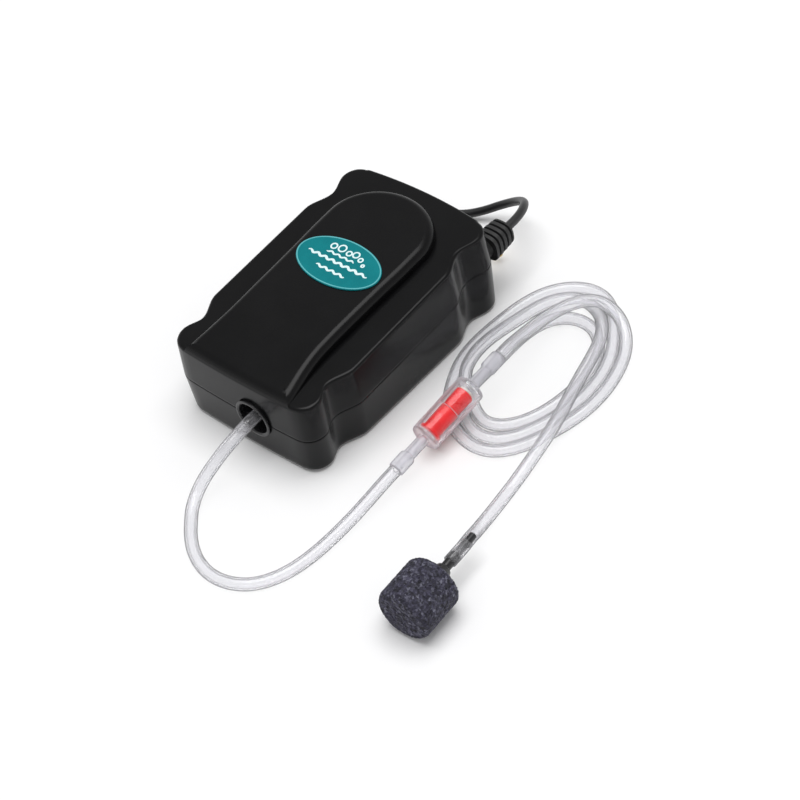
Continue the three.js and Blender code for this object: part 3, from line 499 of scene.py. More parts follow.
TUBE_2 = [
    (73.76, 24.35, 17.38), (73.70, 28.20, 17.50), (73.30, 32.30, 17.00), (72.07, 39.78, 14.56), (71.28, 47.43, 12.50), (71.15, 55.22, 10.88),
    (71.97, 63.03, 9.83), (74.30, 70.49, 9.43), (78.58, 76.76, 9.50), (84.85, 80.48, 9.59), (92.18, 80.66, 8.80), (99.21, 78.28, 7.08),
    (104.98, 73.85, 4.73), (109.52, 67.72, 3.38), (112.87, 60.58, 3.07), (115.18, 52.96, 3.04), (116.63, 45.15, 3.04), (117.20, 37.20, 3.04),
    (116.80, 29.25, 3.04), (115.46, 21.43, 3.04), (113.32, 13.76, 3.04), (110.56, 6.27, 3.04), (107.19, -0.93, 3.04), (102.76, -7.41, 3.04),
    (96.77, -12.18, 3.04), (89.50, -14.20, 3.04), (81.81, -13.47, 3.04), (74.42, -10.79, 3.04), (67.81, -6.59, 3.04), (62.41, -0.88, 3.04),
    (58.15, 5.83, 3.04), (54.43, 12.89, 3.04), (51.48, 20.24, 3.04), (49.73, 27.96, 3.04), (49.20, 35.90, 3.04), (49.42, 43.90, 3.04),
    (50.10, 51.87, 3.04), (51.16, 59.77, 3.04), (52.83, 67.52, 3.04), (55.62, 74.91, 3.04), (59.98, 81.40, 3.04), (65.88, 86.44, 3.04),
    (72.96, 89.23, 3.04), (80.48, 88.99, 3.04), (87.38, 85.69, 3.04), (93.12, 80.35, 3.04), (98.03, 74.09, 3.04), (102.60, 67.54, 3.04),
    (106.32, 60.53, 3.04), (108.92, 53.03, 3.04), (110.47, 45.24, 3.04), (110.96, 37.30, 3.04), (110.40, 29.33, 3.04), (109.04, 21.48, 3.04),
    (106.86, 13.86, 3.04), (103.84, 6.51, 3.04), (99.83, -0.31, 3.04), (94.34, -5.59, 3.04), (87.37, -7.81, 3.04), (79.92, -6.56, 3.04),
    (73.12, -2.88, 3.04), (67.90, 2.64, 3.04), (65.21, 9.70, 3.04), (64.58, 17.51, 3.04), (64.59, 25.50, 3.04), (64.56, 33.50, 3.04),
    (64.39, 41.50, 3.04), (64.71, 49.46, 3.04), (66.12, 57.23, 3.04), (69.32, 64.20, 3.04), (74.85, 69.23, 3.04), (82.02, 71.22, 3.04),
    (89.37, 69.85, 3.04), (95.63, 65.61, 3.04), (100.04, 59.26, 3.04), (102.86, 51.90, 3.04), (104.44, 44.14, 3.04), (104.83, 36.20, 3.04),
    (104.12, 28.26, 3.04), (102.55, 20.47, 3.04), (99.90, 13.01, 3.04), (95.87, 6.32, 3.04), (90.21, 1.32, 3.04), (83.27, -0.37, 3.11),
    (76.40, 1.88, 3.82), (70.27, 5.79, 6.08), (64.48, 10.09, 8.22), (59.93, 16.03, 8.50), (56.98, 23.23, 7.79), (55.40, 30.93, 6.90),
    (55.02, 38.80, 5.95), (55.47, 46.70, 4.88), (56.46, 54.60, 3.85), (57.85, 62.43, 3.22), (60.15, 69.95, 3.05), (64.17, 76.50, 3.04),
    (70.14, 80.87, 3.11), (77.31, 81.62, 3.53), (84.26, 79.00, 4.87), (90.47, 74.70, 6.93), (95.79, 69.12, 8.31), (99.80, 62.39, 8.82),
    (102.48, 54.96, 8.97), (104.55, 47.27, 8.97), (106.48, 39.50, 8.90), (108.56, 31.75, 8.87), (110.79, 24.08, 8.95), (112.95, 16.37, 8.89),
    (114.62, 8.60, 8.40), (115.58, 0.80, 7.18), (116.12, -7.00, 5.56), (116.68, -14.83, 4.11), (117.41, -22.73, 3.28), (118.29, -30.67, 3.13),
    (119.47, -38.51, 3.61), (121.09, -46.12, 5.14), (123.00, -53.50, 7.40), (125.30, -60.50, 10.60), (127.30, -66.60, 12.90), (127.95, -75.70, 13.20),
]
MAINS = [
    (32.0, 79.8, 27.60), (32.0, 85.0, 27.50), (31.6, 90.0, 27.20), (30.2, 95.6, 26.40), (27.2, 101.0, 24.60), (23.0, 105.2, 21.40),
    (17.6, 107.7, 17.40), (11.6, 108.1, 13.30), (5.4, 106.4, 9.60), (-0.6, 103.2, 6.50), (-6.6, 99.7, 4.30), (-12.8, 96.8, 2.90),
    (-19.4, 94.9, 2.30), (-26.0, 93.3, 2.20), (-32.0, 91.1, 2.20), (-37.2, 88.1, 2.20), (-41.0, 84.9, 2.20), (-45.0, 78.4, 2.14),
    (-46.1, 73.5, 2.14), (-46.5, 68.5, 2.14), (-46.4, 63.5, 2.14), (-46.2, 58.5, 2.14), (-46.2, 53.5, 2.14), (-46.5, 48.5, 2.14),
    (-47.0, 43.6, 2.14), (-47.7, 38.6, 2.14), (-48.5, 33.7, 2.30), (-49.4, 28.8, 2.90), (-49.9, 23.8, 3.10), (-49.6, 18.9, 2.80),
    (-48.8, 13.9, 2.30), (-48.2, 9.0, 2.14), (-47.2, 4.1, 2.14), (-46.4, -0.8, 2.14), (-46.5, -5.8, 2.14), (-48.2, -10.5, 2.14),
    (-51.5, -14.1, 2.14), (-56.0, -16.2, 2.14), (-61.0, -16.3, 2.14), (-65.7, -14.6, 2.14), (-69.2, -11.1, 2.14), (-71.3, -6.6, 2.14),
    (-71.7, -1.6, 2.14), (-70.7, 3.3, 2.14), (-69.2, 8.1, 2.14), (-67.6, 12.8, 2.20), (-65.9, 17.5, 2.70), (-64.4, 22.2, 3.10),
    (-64.8, 27.1, 3.00), (-66.6, 31.8, 2.50), (-68.4, 36.4, 2.14), (-70.0, 41.2, 2.14), (-71.3, 46.0, 2.14), (-71.8, 50.9, 2.14),
    (-70.9, 55.8, 2.14), (-68.5, 60.2, 2.14), (-64.5, 63.1, 2.40), (-59.7, 64.5, 3.10), (-54.9, 63.7, 3.90), (-50.7, 61.3, 4.80),
    (-47.9, 57.3, 5.90), (-46.6, 52.5, 6.20), (-46.3, 47.5, 6.20), (-46.8, 42.6, 6.20), (-47.6, 37.6, 6.20), (-48.6, 32.7, 6.50),
    (-49.5, 27.9, 7.10), (-49.6, 22.9, 7.20), (-48.7, 18.0, 6.80), (-47.5, 13.1, 6.20), (-46.7, 8.2, 6.10), (-46.2, 3.2, 6.10),
    (-46.2, -1.8, 6.20), (-48.0, -6.3, 6.00), (-51.5, -9.9, 5.50), (-56.1, -11.6, 5.40), (-61.1, -11.8, 5.30), (-65.6, -9.7, 5.50),
    (-68.9, -6.1, 5.70), (-70.8, -1.6, 6.20), (-70.7, 3.4, 6.30), (-69.1, 8.1, 6.20), (-67.2, 12.7, 6.30), (-64.9, 17.2, 6.60),
    (-62.9, 21.8, 6.90), (-62.8, 26.7, 6.80), (-64.5, 31.4, 6.30), (-66.5, 35.9, 5.90), (-68.4, 40.6, 6.00), (-70.0, 45.3, 6.20),
    (-70.7, 50.2, 6.20), (-69.4, 55.0, 6.00), (-66.5, 59.0, 6.20), (-62.3, 61.5, 6.90), (-57.5, 62.1, 7.80), (-52.7, 60.9, 8.70),
    (-49.1, 57.7, 9.80), (-46.5, 53.5, 10.40), (-46.2, 48.5, 10.50), (-46.7, 43.6, 10.40), (-47.5, 38.6, 10.30), (-48.4, 33.7, 10.60),
    (-49.4, 28.8, 11.10), (-49.6, 23.9, 11.40), (-48.5, 19.0, 11.10), (-47.2, 14.2, 10.50), (-46.4, 9.3, 10.30), (-46.2, 4.3, 10.40),
    (-47.3, -0.5, 10.20), (-50.5, -4.2, 9.80), (-54.9, -6.4, 9.60), (-59.9, -6.5, 9.60), (-64.4, -4.3, 9.60), (-67.5, -0.5, 9.70),
    (-69.1, 4.1, 10.30), (-68.5, 9.1, 10.40), (-66.6, 13.7, 10.50), (-64.1, 18.0, 10.90), (-61.6, 22.3, 11.00), (-61.3, 27.2, 10.70),
    (-63.1, 31.9, 10.20), (-65.0, 36.4, 9.90), (-66.6, 41.2, 9.80), (-67.8, 46.0, 9.80), (-68.0, 51.0, 10.20), (-67.1, 55.9, 10.60),
    (-65.7, 60.7, 10.70), (-63.7, 65.3, 10.40), (-61.3, 69.6, 9.90), (-58.2, 73.5, 9.20), (-54.4, 76.7, 8.60), (-50.0, 79.0, 7.90),
    (-45.2, 80.1, 7.10), (-40.3, 80.1, 6.50), (-35.3, 79.6, 6.60), (-30.3, 79.5, 6.70),
]

P1 = spline(TUBE_1, 1.6)
tube_1 = tube("airline_1", P1, 3.0, 2.0, TUBING)
put(tube_1, "pump", "clear_airline", "airline_tube")

P2 = spline(TUBE_2, 1.8)
tube_2 = tube("airline_2", P2, 3.0, 2.0, TUBING)
put(tube_2, "pump", "clear_airline", "airline_lead", "airline_coil", "airline_run")

P3 = spline(MAINS, 1.6)
mains = tube("mains_cord", P3, 2.1, 0.0, SHEATH, sides=22)
put(mains, "pump", "lead_black", "mains_lead", "mains_hank", "mains_tail")

# tie round the middle of the hank
def band(name, loop, y0, y1, thick, mat):
    """A strap: closed (x, z) loop, from y0 to y1, thick outward."""
    n = len(loop)
    verts, faces = [], []
    for i in range(n):
        a, b = Vector(loop[i - 1]), Vector(loop[(i + 1) % n])
        d = (b - a).normalized()
        o = Vector((d.y, -d.x))
        p = Vector(loop[i])
        for y, r in ((y0, 0.0), (y0, thick * 0.7), (y0 + 0.3, thick), (y1 - 0.3, thick), (y1, thick * 0.7), (y1, 0.0)):
            q = p + o * r
            verts.append((q.x, y, q.y))
    for i in range(n):
        j = (i + 1) % n
        for k in range(6):
            m = (k + 1) % 6
            faces.append([i * 6 + k, j * 6 + k, j * 6 + m, i * 6 + m])
    return solid(name, verts, faces, mat, 40.0)


def stadium(x0, x1, z0, z1, r, n=8):
    out = []
    for cx, cz, a0 in ((x1 - r, z0 + r, -90), (x1 - r, z1 - r, 0), (x0 + r, z1 - r, 90), (x0 + r, z0 + r, 180)):
        for k in range(n + 1):
            a = math.radians(a0 + 90 * k / n)
            out.append((cx + r * math.cos(a), cz + r * math.sin(a)))
    return out


tie = band("lead_tie", stadium(-67.1, -47.3, 0.95, 13.6, 2.2), 20.9, 26.9, 0.85, RUBBER)
put(tie, "pump", "lead_black", "hank_tie")

# ------------------------------------------------------------------ case
HL, LEN = 65.0, 130.0
W_FRONT, W_VF, W_MID, W_VB, W_BACK = 42.3, 38.9, 43.7, 38.8, 41.9
R_FRONT, R_BACK = 8.7, 8.6
WALL = 2.4
OUT_X, OUT_Z, BOOT_X, BOOT_Z = 7.5, 21.2, 32.0, 27.6


def z_part(y):
    return 21.3 + 6.7 * (y + HL) / LEN


def z_top(y):
    return 41.0 + 7.1 * (y + HL) / LEN


def hermite(a, b, t):
    return a + (b - a) * t * t * (3 - 2 * t)


def outline(n, across):
    right = []
    for i in range(n + 1):
        a = i / n * math.pi / 2
        right.append((W_FRONT - R_FRONT + R_FRONT * math.sin(a), -HL + R_FRONT - R_FRONT * math.cos(a)))
    f1, f2, b1, b2 = -46.5, -32.5, 45.2, 31.0
    for i in range(1, n):
        t = i / (n - 1)
        right.append((hermite(W_FRONT, W_VF, t), -HL + R_FRONT + t * (f1 + HL - R_FRONT)))
    for i in range(1, n + 1):
        t = i / n
        right.append((hermite(W_VF, W_MID, t), f1 + t * (f2 - f1)))
    for k in range(1, 8):
        right.append((W_MID, f2 + (b2 - f2) * k / 8))
    for i in range(n + 1):
        t = i / n
        right.append((hermite(W_MID, W_VB, t), b2 + t * (b1 - b2)))
    for i in range(1, n):
        t = i / (n - 1)
        right.append((hermite(W_VB, W_BACK, t), b1 + t * (HL - R_BACK - b1)))
    for i in range(1, n + 1):
        a = i / n * math.pi / 2
        right.append((W_BACK - R_BACK + R_BACK * math.cos(a), HL - R_BACK + R_BACK * math.sin(a)))
    xs = [-30 + 60 * k / (across - 1) for k in range(across)]
    pts = [(x, -HL) for x in xs] + right + [(x, HL) for x in reversed(xs)] + [(-x, y) for x, y in reversed(right)]
    out = []
    for x, y in pts:
        u = max(0.0, 1 - (x / 38) ** 2)
        if y < -HL + 0.01:
            y -= 1.0 * u
        elif y > HL - 0.01:
            y += 2.7 * u
        out.append((x, y))
    return out


def stack(name, pts, levels, mat=None, angle=32.0):
    """levels: (z or z(y), inset x, inset y), from the bottom up; flat caps."""
    verts, faces = [], []
    n = len(pts)
    for z, ix, iy in levels:
        for x, y in pts:
            Y = y * (1 - iy / HL)
            verts.append((x * (1 - ix / W_FRONT), Y, z(Y) if callable(z) else z))
    for i in range(len(levels) - 1):
        for k in range(n):
            faces.append([i * n + k, i * n + (k + 1) % n, (i + 1) * n + (k + 1) % n, (i + 1) * n + k])
    faces.append(list(reversed(range(n))))
    faces.append([(len(levels) - 1) * n + k for k in range(n)])
    return solid(name, verts, faces, mat, angle)


def block(x0, x1, y0, y1, z0, z1, soft=0.0):
    v = [(x, y, z) for z in (z0, z1) for y in (y0, y1) for x in (x0, x1)]
    ob = solid("cutter", v, [[0, 1, 3, 2], [4, 6, 7, 5], [0, 4, 5, 1], [2, 3, 7, 6], [0, 2, 6, 4], [1, 5, 7, 3]])
    if soft:
        bm = bmesh.new()
        bm.from_mesh(ob.data)
        bmesh.ops.bevel(bm, geom=list(bm.edges), offset=soft * MM, segments=2, profile=0.6, affect="EDGES")
        bm.to_mesh(ob.data)
        bm.free()
    return ob


def rod(axis, r, a, b, u, v, seg=40):
    pr = [(0.0, a), (r, a), (r, b), (0.0, b)]
    if axis == "y":
        m = shift(u, 0, v)
    elif axis == "z":
        m = shift(u, v, 0) @ Matrix.Rotation(math.pi / 2, 4, "X")
    return lathe("cutter", pr, seg, None, m)


FINE = outline(12, 21)
COARSE = outline(5, 7)

RISE = [(-70, 2.2), (-65, 2.5), (-55, 3.9), (-45, 5.2), (-35, 6.0), (-22, 6.3), (60, 6.3)]


def rise(y):
    # smoothed through the table
    def lin(v):
        for (a, p), (b, q) in zip(RISE, RISE[1:]):
            if v <= b:
                return p + (q - p) * (v - a) / (b - a)
        return 6.3
    return (lin(y - 3) + 2 * lin(y) + lin(y + 3)) / 4 if y > -62 else lin(y)


def tongue_top(y):
    return z_top(y) + rise(y)


HALF = spline([(32.2, -70, 0), (32.2, -65, 0), (31, -58, 0), (29.5, -50, 0), (28.4, -42, 0), (27.9, -35, 0), (27.9, -15, 0), (28.2, 5, 0), (28.7, 20, 0), (28.7, 31, 0)], 2.0)
SIDE = [(p.x, p.y) for p in HALF if p.y > -63.2]
for i in range(1, 26):
    a = i / 26 * math.pi / 2
    SIDE.append((28.7 * math.cos(a), 32 + 25 * math.sin(a)))


def tongue(name, levels, front=None, bottom=34.0):
    """A raised tongue: ring levels (inset, drop) up to a top that follows tongue_top."""
    def ring(d):
        k = 1 - d / 28.7
        yf = (lambda x: -HL - (1 - (x / 38) ** 2) + 0.98 + d) if front is None else (lambda x: front)
        w = 32.15 * k
        fr = [(w * (-1 + 2 * j / 20), yf(w * (-1 + 2 * j / 20))) for j in range(21)]
        sd = [(x * k, max(y - d * (y - 30) / 27 if y > 30 else y, yf(w) + 0.4 + 0.02 * i)) for i, (x, y) in enumerate(SIDE)]
        ap = (0.0, 57 - d)
        return fr, sd, ap
    verts, faces = [], []
    sizes = None
    for li, (d, drop) in enumerate(levels):
        fr, sd, ap = ring(d)
        pts = fr + sd + [ap] + [(-x, y) for x, y in reversed(sd)]
        sizes = (len(fr), len(sd), len(pts))
        for x, y in pts:
            verts.append((x, y, bottom if drop is None else tongue_top(y) - drop))
    m, s, n = sizes
    L = len(levels)
    for i in range(L - 1):
        for k in range(n):
            faces.append([i * n + k, i * n + (k + 1) % n, (i + 1) * n + (k + 1) % n, (i + 1) * n + k])
    faces.append(list(reversed(range(n))))
    o = (L - 1) * n
    faces.append([o + j for j in range(m)] + [o + m, o + n - 1])
    for i in range(s - 1):
        faces.append([o + m + i, o + m + i + 1, o + n - 2 - i, o + n - 1 - i])
    faces.append([o + m + s - 1, o + m + s, o + m + s + 1])
    return solid(name, verts, faces, CASE, 32.0)


def arc(r, n):
    return [(r * (1 - math.cos(math.pi / 2 * k / n)), r * (1 - math.sin(math.pi / 2 * k / n))) for k in range(n + 1)]


fillet = [(lambda y, h=h: z_top(y) - h, 0.4 + d * 1.5 / 1.6, 0.9 + d * 1.5 / 1.6) for d, h in arc(1.6, 7)]
cover = stack("cover", FINE, [
    (lambda y: z_part(y) + 0.15, 0.22, 0.22), (lambda y: z_part(y) + 0.24, 0.06, 0.06), (lambda y: z_part(y) + 0.42, 0.0, 0.0),
    (lambda y: z_part(y) + 1.2, 0.02, 0.05), (lambda y: (z_part(y) + z_top(y)) / 2, 0.2, 0.5), (lambda y: z_top(y) - 2.4, 0.37, 0.85)]
    + fillet + [(lambda y: z_top(y), 2.35, 2.85), (lambda y: z_top(y), 3.0, 3.5)])
tongue_outer = tongue("cutter", [(0.0, None), (0.0, 6.2), (0.0, 4.9)] + arc(4.4, 16) + [(5.0, 0.0), (5.9, 0.0)])
boolean(cover, [tongue_outer], "UNION")
inner = stack("cutter", COARSE, [(10.0, WALL, WALL), (lambda y: z_top(y) - WALL, WALL + 0.4, WALL + 0.9)])
tongue_inner = tongue("cutter", [(2.4, None), (2.4, 2.4)], front=-62.6, bottom=30.0)
boolean(inner, [tongue_inner], "UNION")
boolean(cover, [inner], "DIFFERENCE")
SCREWS = [(-33, -54.5), (33, -54.5), (-27, 56), (21, 57)]
boolean(cover, [rod("z", 3.4, z_part(y) + 0.5, z_top(y) - 1.0, x, y) for x, y in SCREWS] + [block(-25, 25, 18, 19.6, 45.0, 50.6)], "UNION")
boolean(cover, [rod("z", 1.7, z_part(y) - 0.5, z_part(y) + 11.7, x, y) for x, y in SCREWS]
        + [rod("y", 9.7, -75, -55, OUT_X, OUT_Z, 72), rod("y", 5.0, 58, 75, BOOT_X, BOOT_Z, 40)], "DIFFERENCE")
shade(cover, CASE, 32.0)
put(cover, "pump", "case_black", "upper_cover")

case = stack("case", FINE, [
    (1.2, 2.9, 1.5), (1.28, 2.62, 1.22), (1.55, 2.2, 0.8), (1.95, 1.9, 0.5), (2.4, 1.7, 0.3), (4.0, 1.58, 0.28),
    (lambda y: 2.4 + 0.5 * (z_part(y) - 2.4), 0.85, 0.15), (lambda y: z_part(y) - 1.2, 0.1, 0.02),
    (lambda y: z_part(y) - 0.42, 0.0, 0.0), (lambda y: z_part(y) - 0.24, 0.06, 0.06), (lambda y: z_part(y) - 0.15, 0.22, 0.22)])
boolean(case, [stack("cutter", COARSE, [(3.8, WALL + 1.6, WALL + 0.3), (40.0, WALL, WALL)])], "DIFFERENCE")
lip = stack("cutter", COARSE, [(lambda y: z_part(y) - 3, WALL - 0.2, WALL - 0.2), (lambda y: z_part(y) - 0.6, WALL + 0.45, WALL + 0.45), (lambda y: z_part(y) + 2.2, WALL + 0.75, WALL + 0.75)])
boolean(lip, [stack("cutter", COARSE, [(4.0, WALL + 1.5, WALL + 1.5), (40.0, WALL + 1.9, WALL + 1.9)])], "DIFFERENCE")
AX = -6.0
post = block(AX - 10.5, AX + 10.5, -53, -39.2, 3.5, 33.5)
boolean(post, [block(AX - 8.3, AX + 8.3, -50.5, -37, 21.4, 40), block(AX - 8, AX + 8, -50.4, -37, 2.5, 18)], "DIFFERENCE")
boolean(post, [block(AX - 5.9, AX + 5.9, -60, -30, 23.5, 41)], "DIFFERENCE")
FEET = [(-31, -40), (31, -40), (-31, 42), (31, 42)]
boolean(case, [lip, post], "UNION")
boolean(case, [rod("z", 3.6, 3.5, z_part(y) + 0.1, x, y) for x, y in SCREWS]
        + [block(AX - 7, AX + 7, 35, 37, 3.5, 6.7), block(AX - 7, AX + 7, 55.8, 58.8, 3.5, 6.7),
           block(21.4, 25.0, 48.6, 53.0, 3.5, 24.5), block(31.8, 35.2, 48.6, 53.0, 3.5, 24.5)], "UNION")
boolean(case, [block(21.5, 35.1, 50, 52, 3.4, 20)] + [block(AX + d - 2.9, AX + d + 2.9, 55.1, 59.6, 3.5, 5.3) for d in (-12.4, 12.4)], "UNION")
boolean(case, [rod("z", 3.4, -1, 5.0, x, y) for x, y in SCREWS] + [rod("z", 2.4, -1, 10, x, y) for x, y in FEET]
        + [rod("z", 1.7, 3.9, 8, AX + d, 57.3) for d in (-12.4, 12.4)] + [rod("y", 9.7, -75, -63.0, OUT_X, OUT_Z, 72)]
        + [block(26 - 10.3, 26 + 10.3, -15 - 8.3, -15 + 8.3, 2.0, 8), rod("y", 5.0, 61, 75, BOOT_X, BOOT_Z, 40)], "DIFFERENCE")
boolean(case, [rod("z", 1.9, 4.5, 40, x, y) for x, y in SCREWS] + [block(26 - 12.3, 26 + 12.3, -15 - 10.3, -15 + 10.3, -1, 2.7)]
        + [rod("y", 10.0, -63.2, -54, OUT_X, OUT_Z, 48), rod("y", 6.4, 50, 60.5, BOOT_X, BOOT_Z, 40)], "DIFFERENCE")
boolean(case, [rod("z", 3.8, z_part(y) + 0.1, z_part(y) + 4, x, y) for x, y in SCREWS] + [rod("y", 9.7, -64, -53, OUT_X, OUT_Z, 72)], "DIFFERENCE")
shade(case, CASE, 32.0)
put(case, "pump", "case_black", "lower_case")

# ------------------------------------------------------------------ badge: enamelled oval with waves and bubbles
def oval(name, a, b, rows, mat, cx=0.0, cy=7.2, seg=96):
    """rows: (scale, height above the cover); first row is the underside edge."""
    verts, faces = [], []
    for k, h in rows:
        for i in range(seg):
            t = 2 * math.pi * i / seg
            x, y = cx + (a - (1 - k) * b) * math.cos(t), cy + b * k * math.sin(t)
            verts.append((x, y, tongue_top(y) + h))
    for r in range(len(rows) - 1):
        for i in range(seg):
            faces.append([r * seg + i, r * seg + (i + 1) % seg, (r + 1) * seg + (i + 1) % seg, (r + 1) * seg + i])
    faces.append(list(reversed(range(seg))))
    o = (len(rows) - 1) * seg
    faces.append([o + i for i in range(seg)])
    return solid(name, verts, faces, mat, 40.0)


badge = oval("badge_oval", 23.4, 13.3, [(0.985, 0.05), (1.0, 0.15), (1.0, 0.55), (0.99, 0.72), (0.97, 0.78), (0.93, 0.76), (0.90, 0.76)], TEAL)
put(badge, "pump", "badge_print", "badge")
rim_verts, rim_faces = [], []
SEG = 96
for i in range(SEG):
    t = 2 * math.pi * i / SEG
    for k, h in ((0.982, 0.70), (0.978, 0.84), (0.955, 0.87), (0.935, 0.84), (0.93, 0.70)):
        x, y = (23.4 - (1 - k) * 13.3) * math.cos(t), 7.2 + 13.3 * k * math.sin(t)
        rim_verts.append((x, y, tongue_top(y) + h))
for i in range(SEG):
    j = (i + 1) % SEG
    for k in range(5):
        m = (k + 1) % 5
        rim_faces.append([i * 5 + k, j * 5 + k, j * 5 + m, i * 5 + m])
rim = solid("badge_rim", rim_verts, rim_faces, TEAL_RIM, 40.0)
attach(rim, "pump")

mv, mf = [], []


def ribbon(path, half):
    """A low raised stroke on the badge, path in (x, y)."""
    base = len(mv)
    n = len(path)
    for i in range(n):
        a, b = Vector(path[max(i - 1, 0)]), Vector(path[min(i + 1, n - 1)])
        d = (b - a).normalized()
        o = Vector((-d.y, d.x))
        w = half * min(1.0, 0.45 + 2.2 * min(i, n - 1 - i) / max(n - 1, 1) * 3)
        for s, h in ((-1, 0.70), (-1, 0.84), (-0.6, 0.89), (0.6, 0.89), (1, 0.84), (1, 0.70)):
            q = Vector(path[i]) + o * (w * s)
            mv.append((q.x, q.y, tongue_top(q.y) + h))
    for i in range(n - 1):
        for k in range(6):
            m = (k + 1) % 6
            mf.append([base + i * 6 + k, base + (i + 1) * 6 + k, base + (i + 1) * 6 + m, base + i * 6 + m])
    mf.append([base + k for k in range(6)])
    mf.append([base + (n - 1) * 6 + k for k in reversed(range(6))])


def bubble(cx, cy, r, half):
    base = len(mv)
    n = 28
    for i in range(n):
        t = 2 * math.pi * i / n
        for rr, h in ((r - half, 0.70), (r - half, 0.84), (r - half * 0.6, 0.89), (r + half * 0.6, 0.89), (r + half, 0.84), (r + half, 0.70)):
            y = cy + rr * math.sin(t)
            mv.append((cx + rr * math.cos(t), y, tongue_top(y) + h))
    for i in range(n):
        j = (i + 1) % n
        for k in range(6):
            m = (k + 1) % 6
            mf.append([base + i * 6 + k, base + j * 6 + k, base + j * 6 + m, base + i * 6 + m])


def wave(x0, x1, y, amp, period, half):
    n = max(8, int((x1 - x0) / 0.5))
    ribbon([(x0 + (x1 - x0) * i / n, y + amp * math.sin(2 * math.pi * (x0 + (x1 - x0) * i / n) / period)) for i in range(n + 1)], half)


wave(-17.6, 17.6, 6.6, 0.55, 4.4, 0.62)
wave(-8.5, 8.5, 1.4, 0.5, 4.25, 0.55)
wave(-9.5, 6.5, 10.4, 0.45, 4.0, 0.45)
for bx, by, br in ((-8.4, 13.9, 1.5), (-3.9, 14.6, 1.9), (0.9, 13.7, 1.3), (4.4, 14.6, 1.6), (8.2, 13.2, 1.1), (11.3, 11.0, 0.7)):
    bubble(bx, by, br, 0.38)
marks = solid("badge_marks", mv, mf, PRINT, 40.0)
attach(marks, "pump")

# ------------------------------------------------------------------ feet
for i, (x, y) in enumerate(FEET):
    prof = [(0, 0.35), (3.4, 0.35), (3.9, 0.0), (5.0, 0.0), (5.45, 0.14), (5.6, 0.45), (5.6, 0.8), (5.5, 0.9), (2.15, 0.9), (2.05, 1.0), (2.05, 4.2), (3.2, 4.45), (3.2, 4.6), (2.6, 6.2), (2.3, 6.4), (0, 6.4)]
    foot = lathe(f"foot_pad_{i + 1}", prof, 44, FOOT, shift(x, y) @ Matrix.Rotation(math.pi / 2, 4, "X"))
    put(foot, "pump", "foot_rubber", f"foot_{i + 1}")

# ------------------------------------------------------------------ air outlet
ring_prof = rounded([(3.4, -56.6), (9.4, -56.6), (9.4, -66.35), (9.9, -66.3), (10.05, -66.6), (9.8, -67.05), (8.9, -67.15), (8.2, -66.6), (8.2, -58.2), (3.4, -58.2)], 0.3, 3)
ring = lathe("outlet_socket", ring_prof, 96, OUTLET, shift(OUT_X, 0, OUT_Z))
put(ring, "pump", "outlet_black", "outlet_ring")
noz = rounded([(0.9, -53.3), (2.2, -53.3), (2.2, -54.9), (5.2, -54.9), (5.2, -56.3), (3.0, -56.3), (3.0, -57.4), (1.92, -57.6), (1.92, -70.6), (1.6, -71.2), (0.9, -71.2)], 0.2, 2)
nozzle = lathe("outlet_barb", noz, 48, OUTLET, shift(OUT_X, 0, OUT_Z))
put(nozzle, "pump", "outlet_black", "outlet_nozzle")

# ------------------------------------------------------------------ strain relief: slotted block with a chamfered end
def squarish(a, r, h):
    if h < 67.5 or r < 2.8:
        return 1.0
    p = 3.6
    k = (abs(math.cos(a)) ** p + abs(math.sin(a)) ** p) ** (-1 / p)
    return 1.0 + (k - 1.0) * 0.75


boot_prof = [(2.25, 57.2), (5.2, 57.2), (5.2, 58.7), (4.7, 58.8), (4.7, 67.45), (6.9, 67.6)]
y = 67.6
for k in range(4):
    r = 6.9 - 0.22 * k
    boot_prof += [(r, y), (r, y + 1.75), (r - 0.25, y + 1.95), (4.3, y + 2.05), (4.3, y + 2.85), (r - 0.45, y + 2.95)]
    y += 3.1
boot_prof += [(6.0, y), (5.9, y + 0.9), (4.6, 80.3), (2.25, 80.3)]
clean = [boot_prof[0]]
for p in boot_prof[1:]:
    if abs(p[0] - clean[-1][0]) + abs(p[1] - clean[-1][1]) > 0.02:
        clean.append(p)
tilt = Matrix.Translation((BOOT_X * MM, 0, BOOT_Z * MM))
boot = lathe("boot", clean, 72, RUBBER, tilt, 30.0, squarish)
put(boot, "pump", "foot_rubber", "strain_relief")

# ------------------------------------------------------------------ check valve
VC = Matrix.Translation((73.25 * MM, -11.8 * MM, 13.4 * MM)) @ Matrix.Rotation(math.radians(-0.8), 4, "Z") @ Matrix.Rotation(math.radians(6.3), 4, "X")


def half_shell(s):
    p = [(1.3, 36), (3.2, 36), (3.6, 35.7), (3.7, 35.2), (3.7, 28.2), (3.5, 27.6), (2.8, 26.8), (2.8, 17.2), (3.2, 16.6), (6.4, 16.2), (6.85, 15.9), (7.0, 15.3),
         (7.0, 0.25), (6.9, 0.04), (5.7, 0.04), (5.7, 13.9), (5.3, 14.5), (1.3, 14.6)]
    return [(r, h * s) for r, h in p]


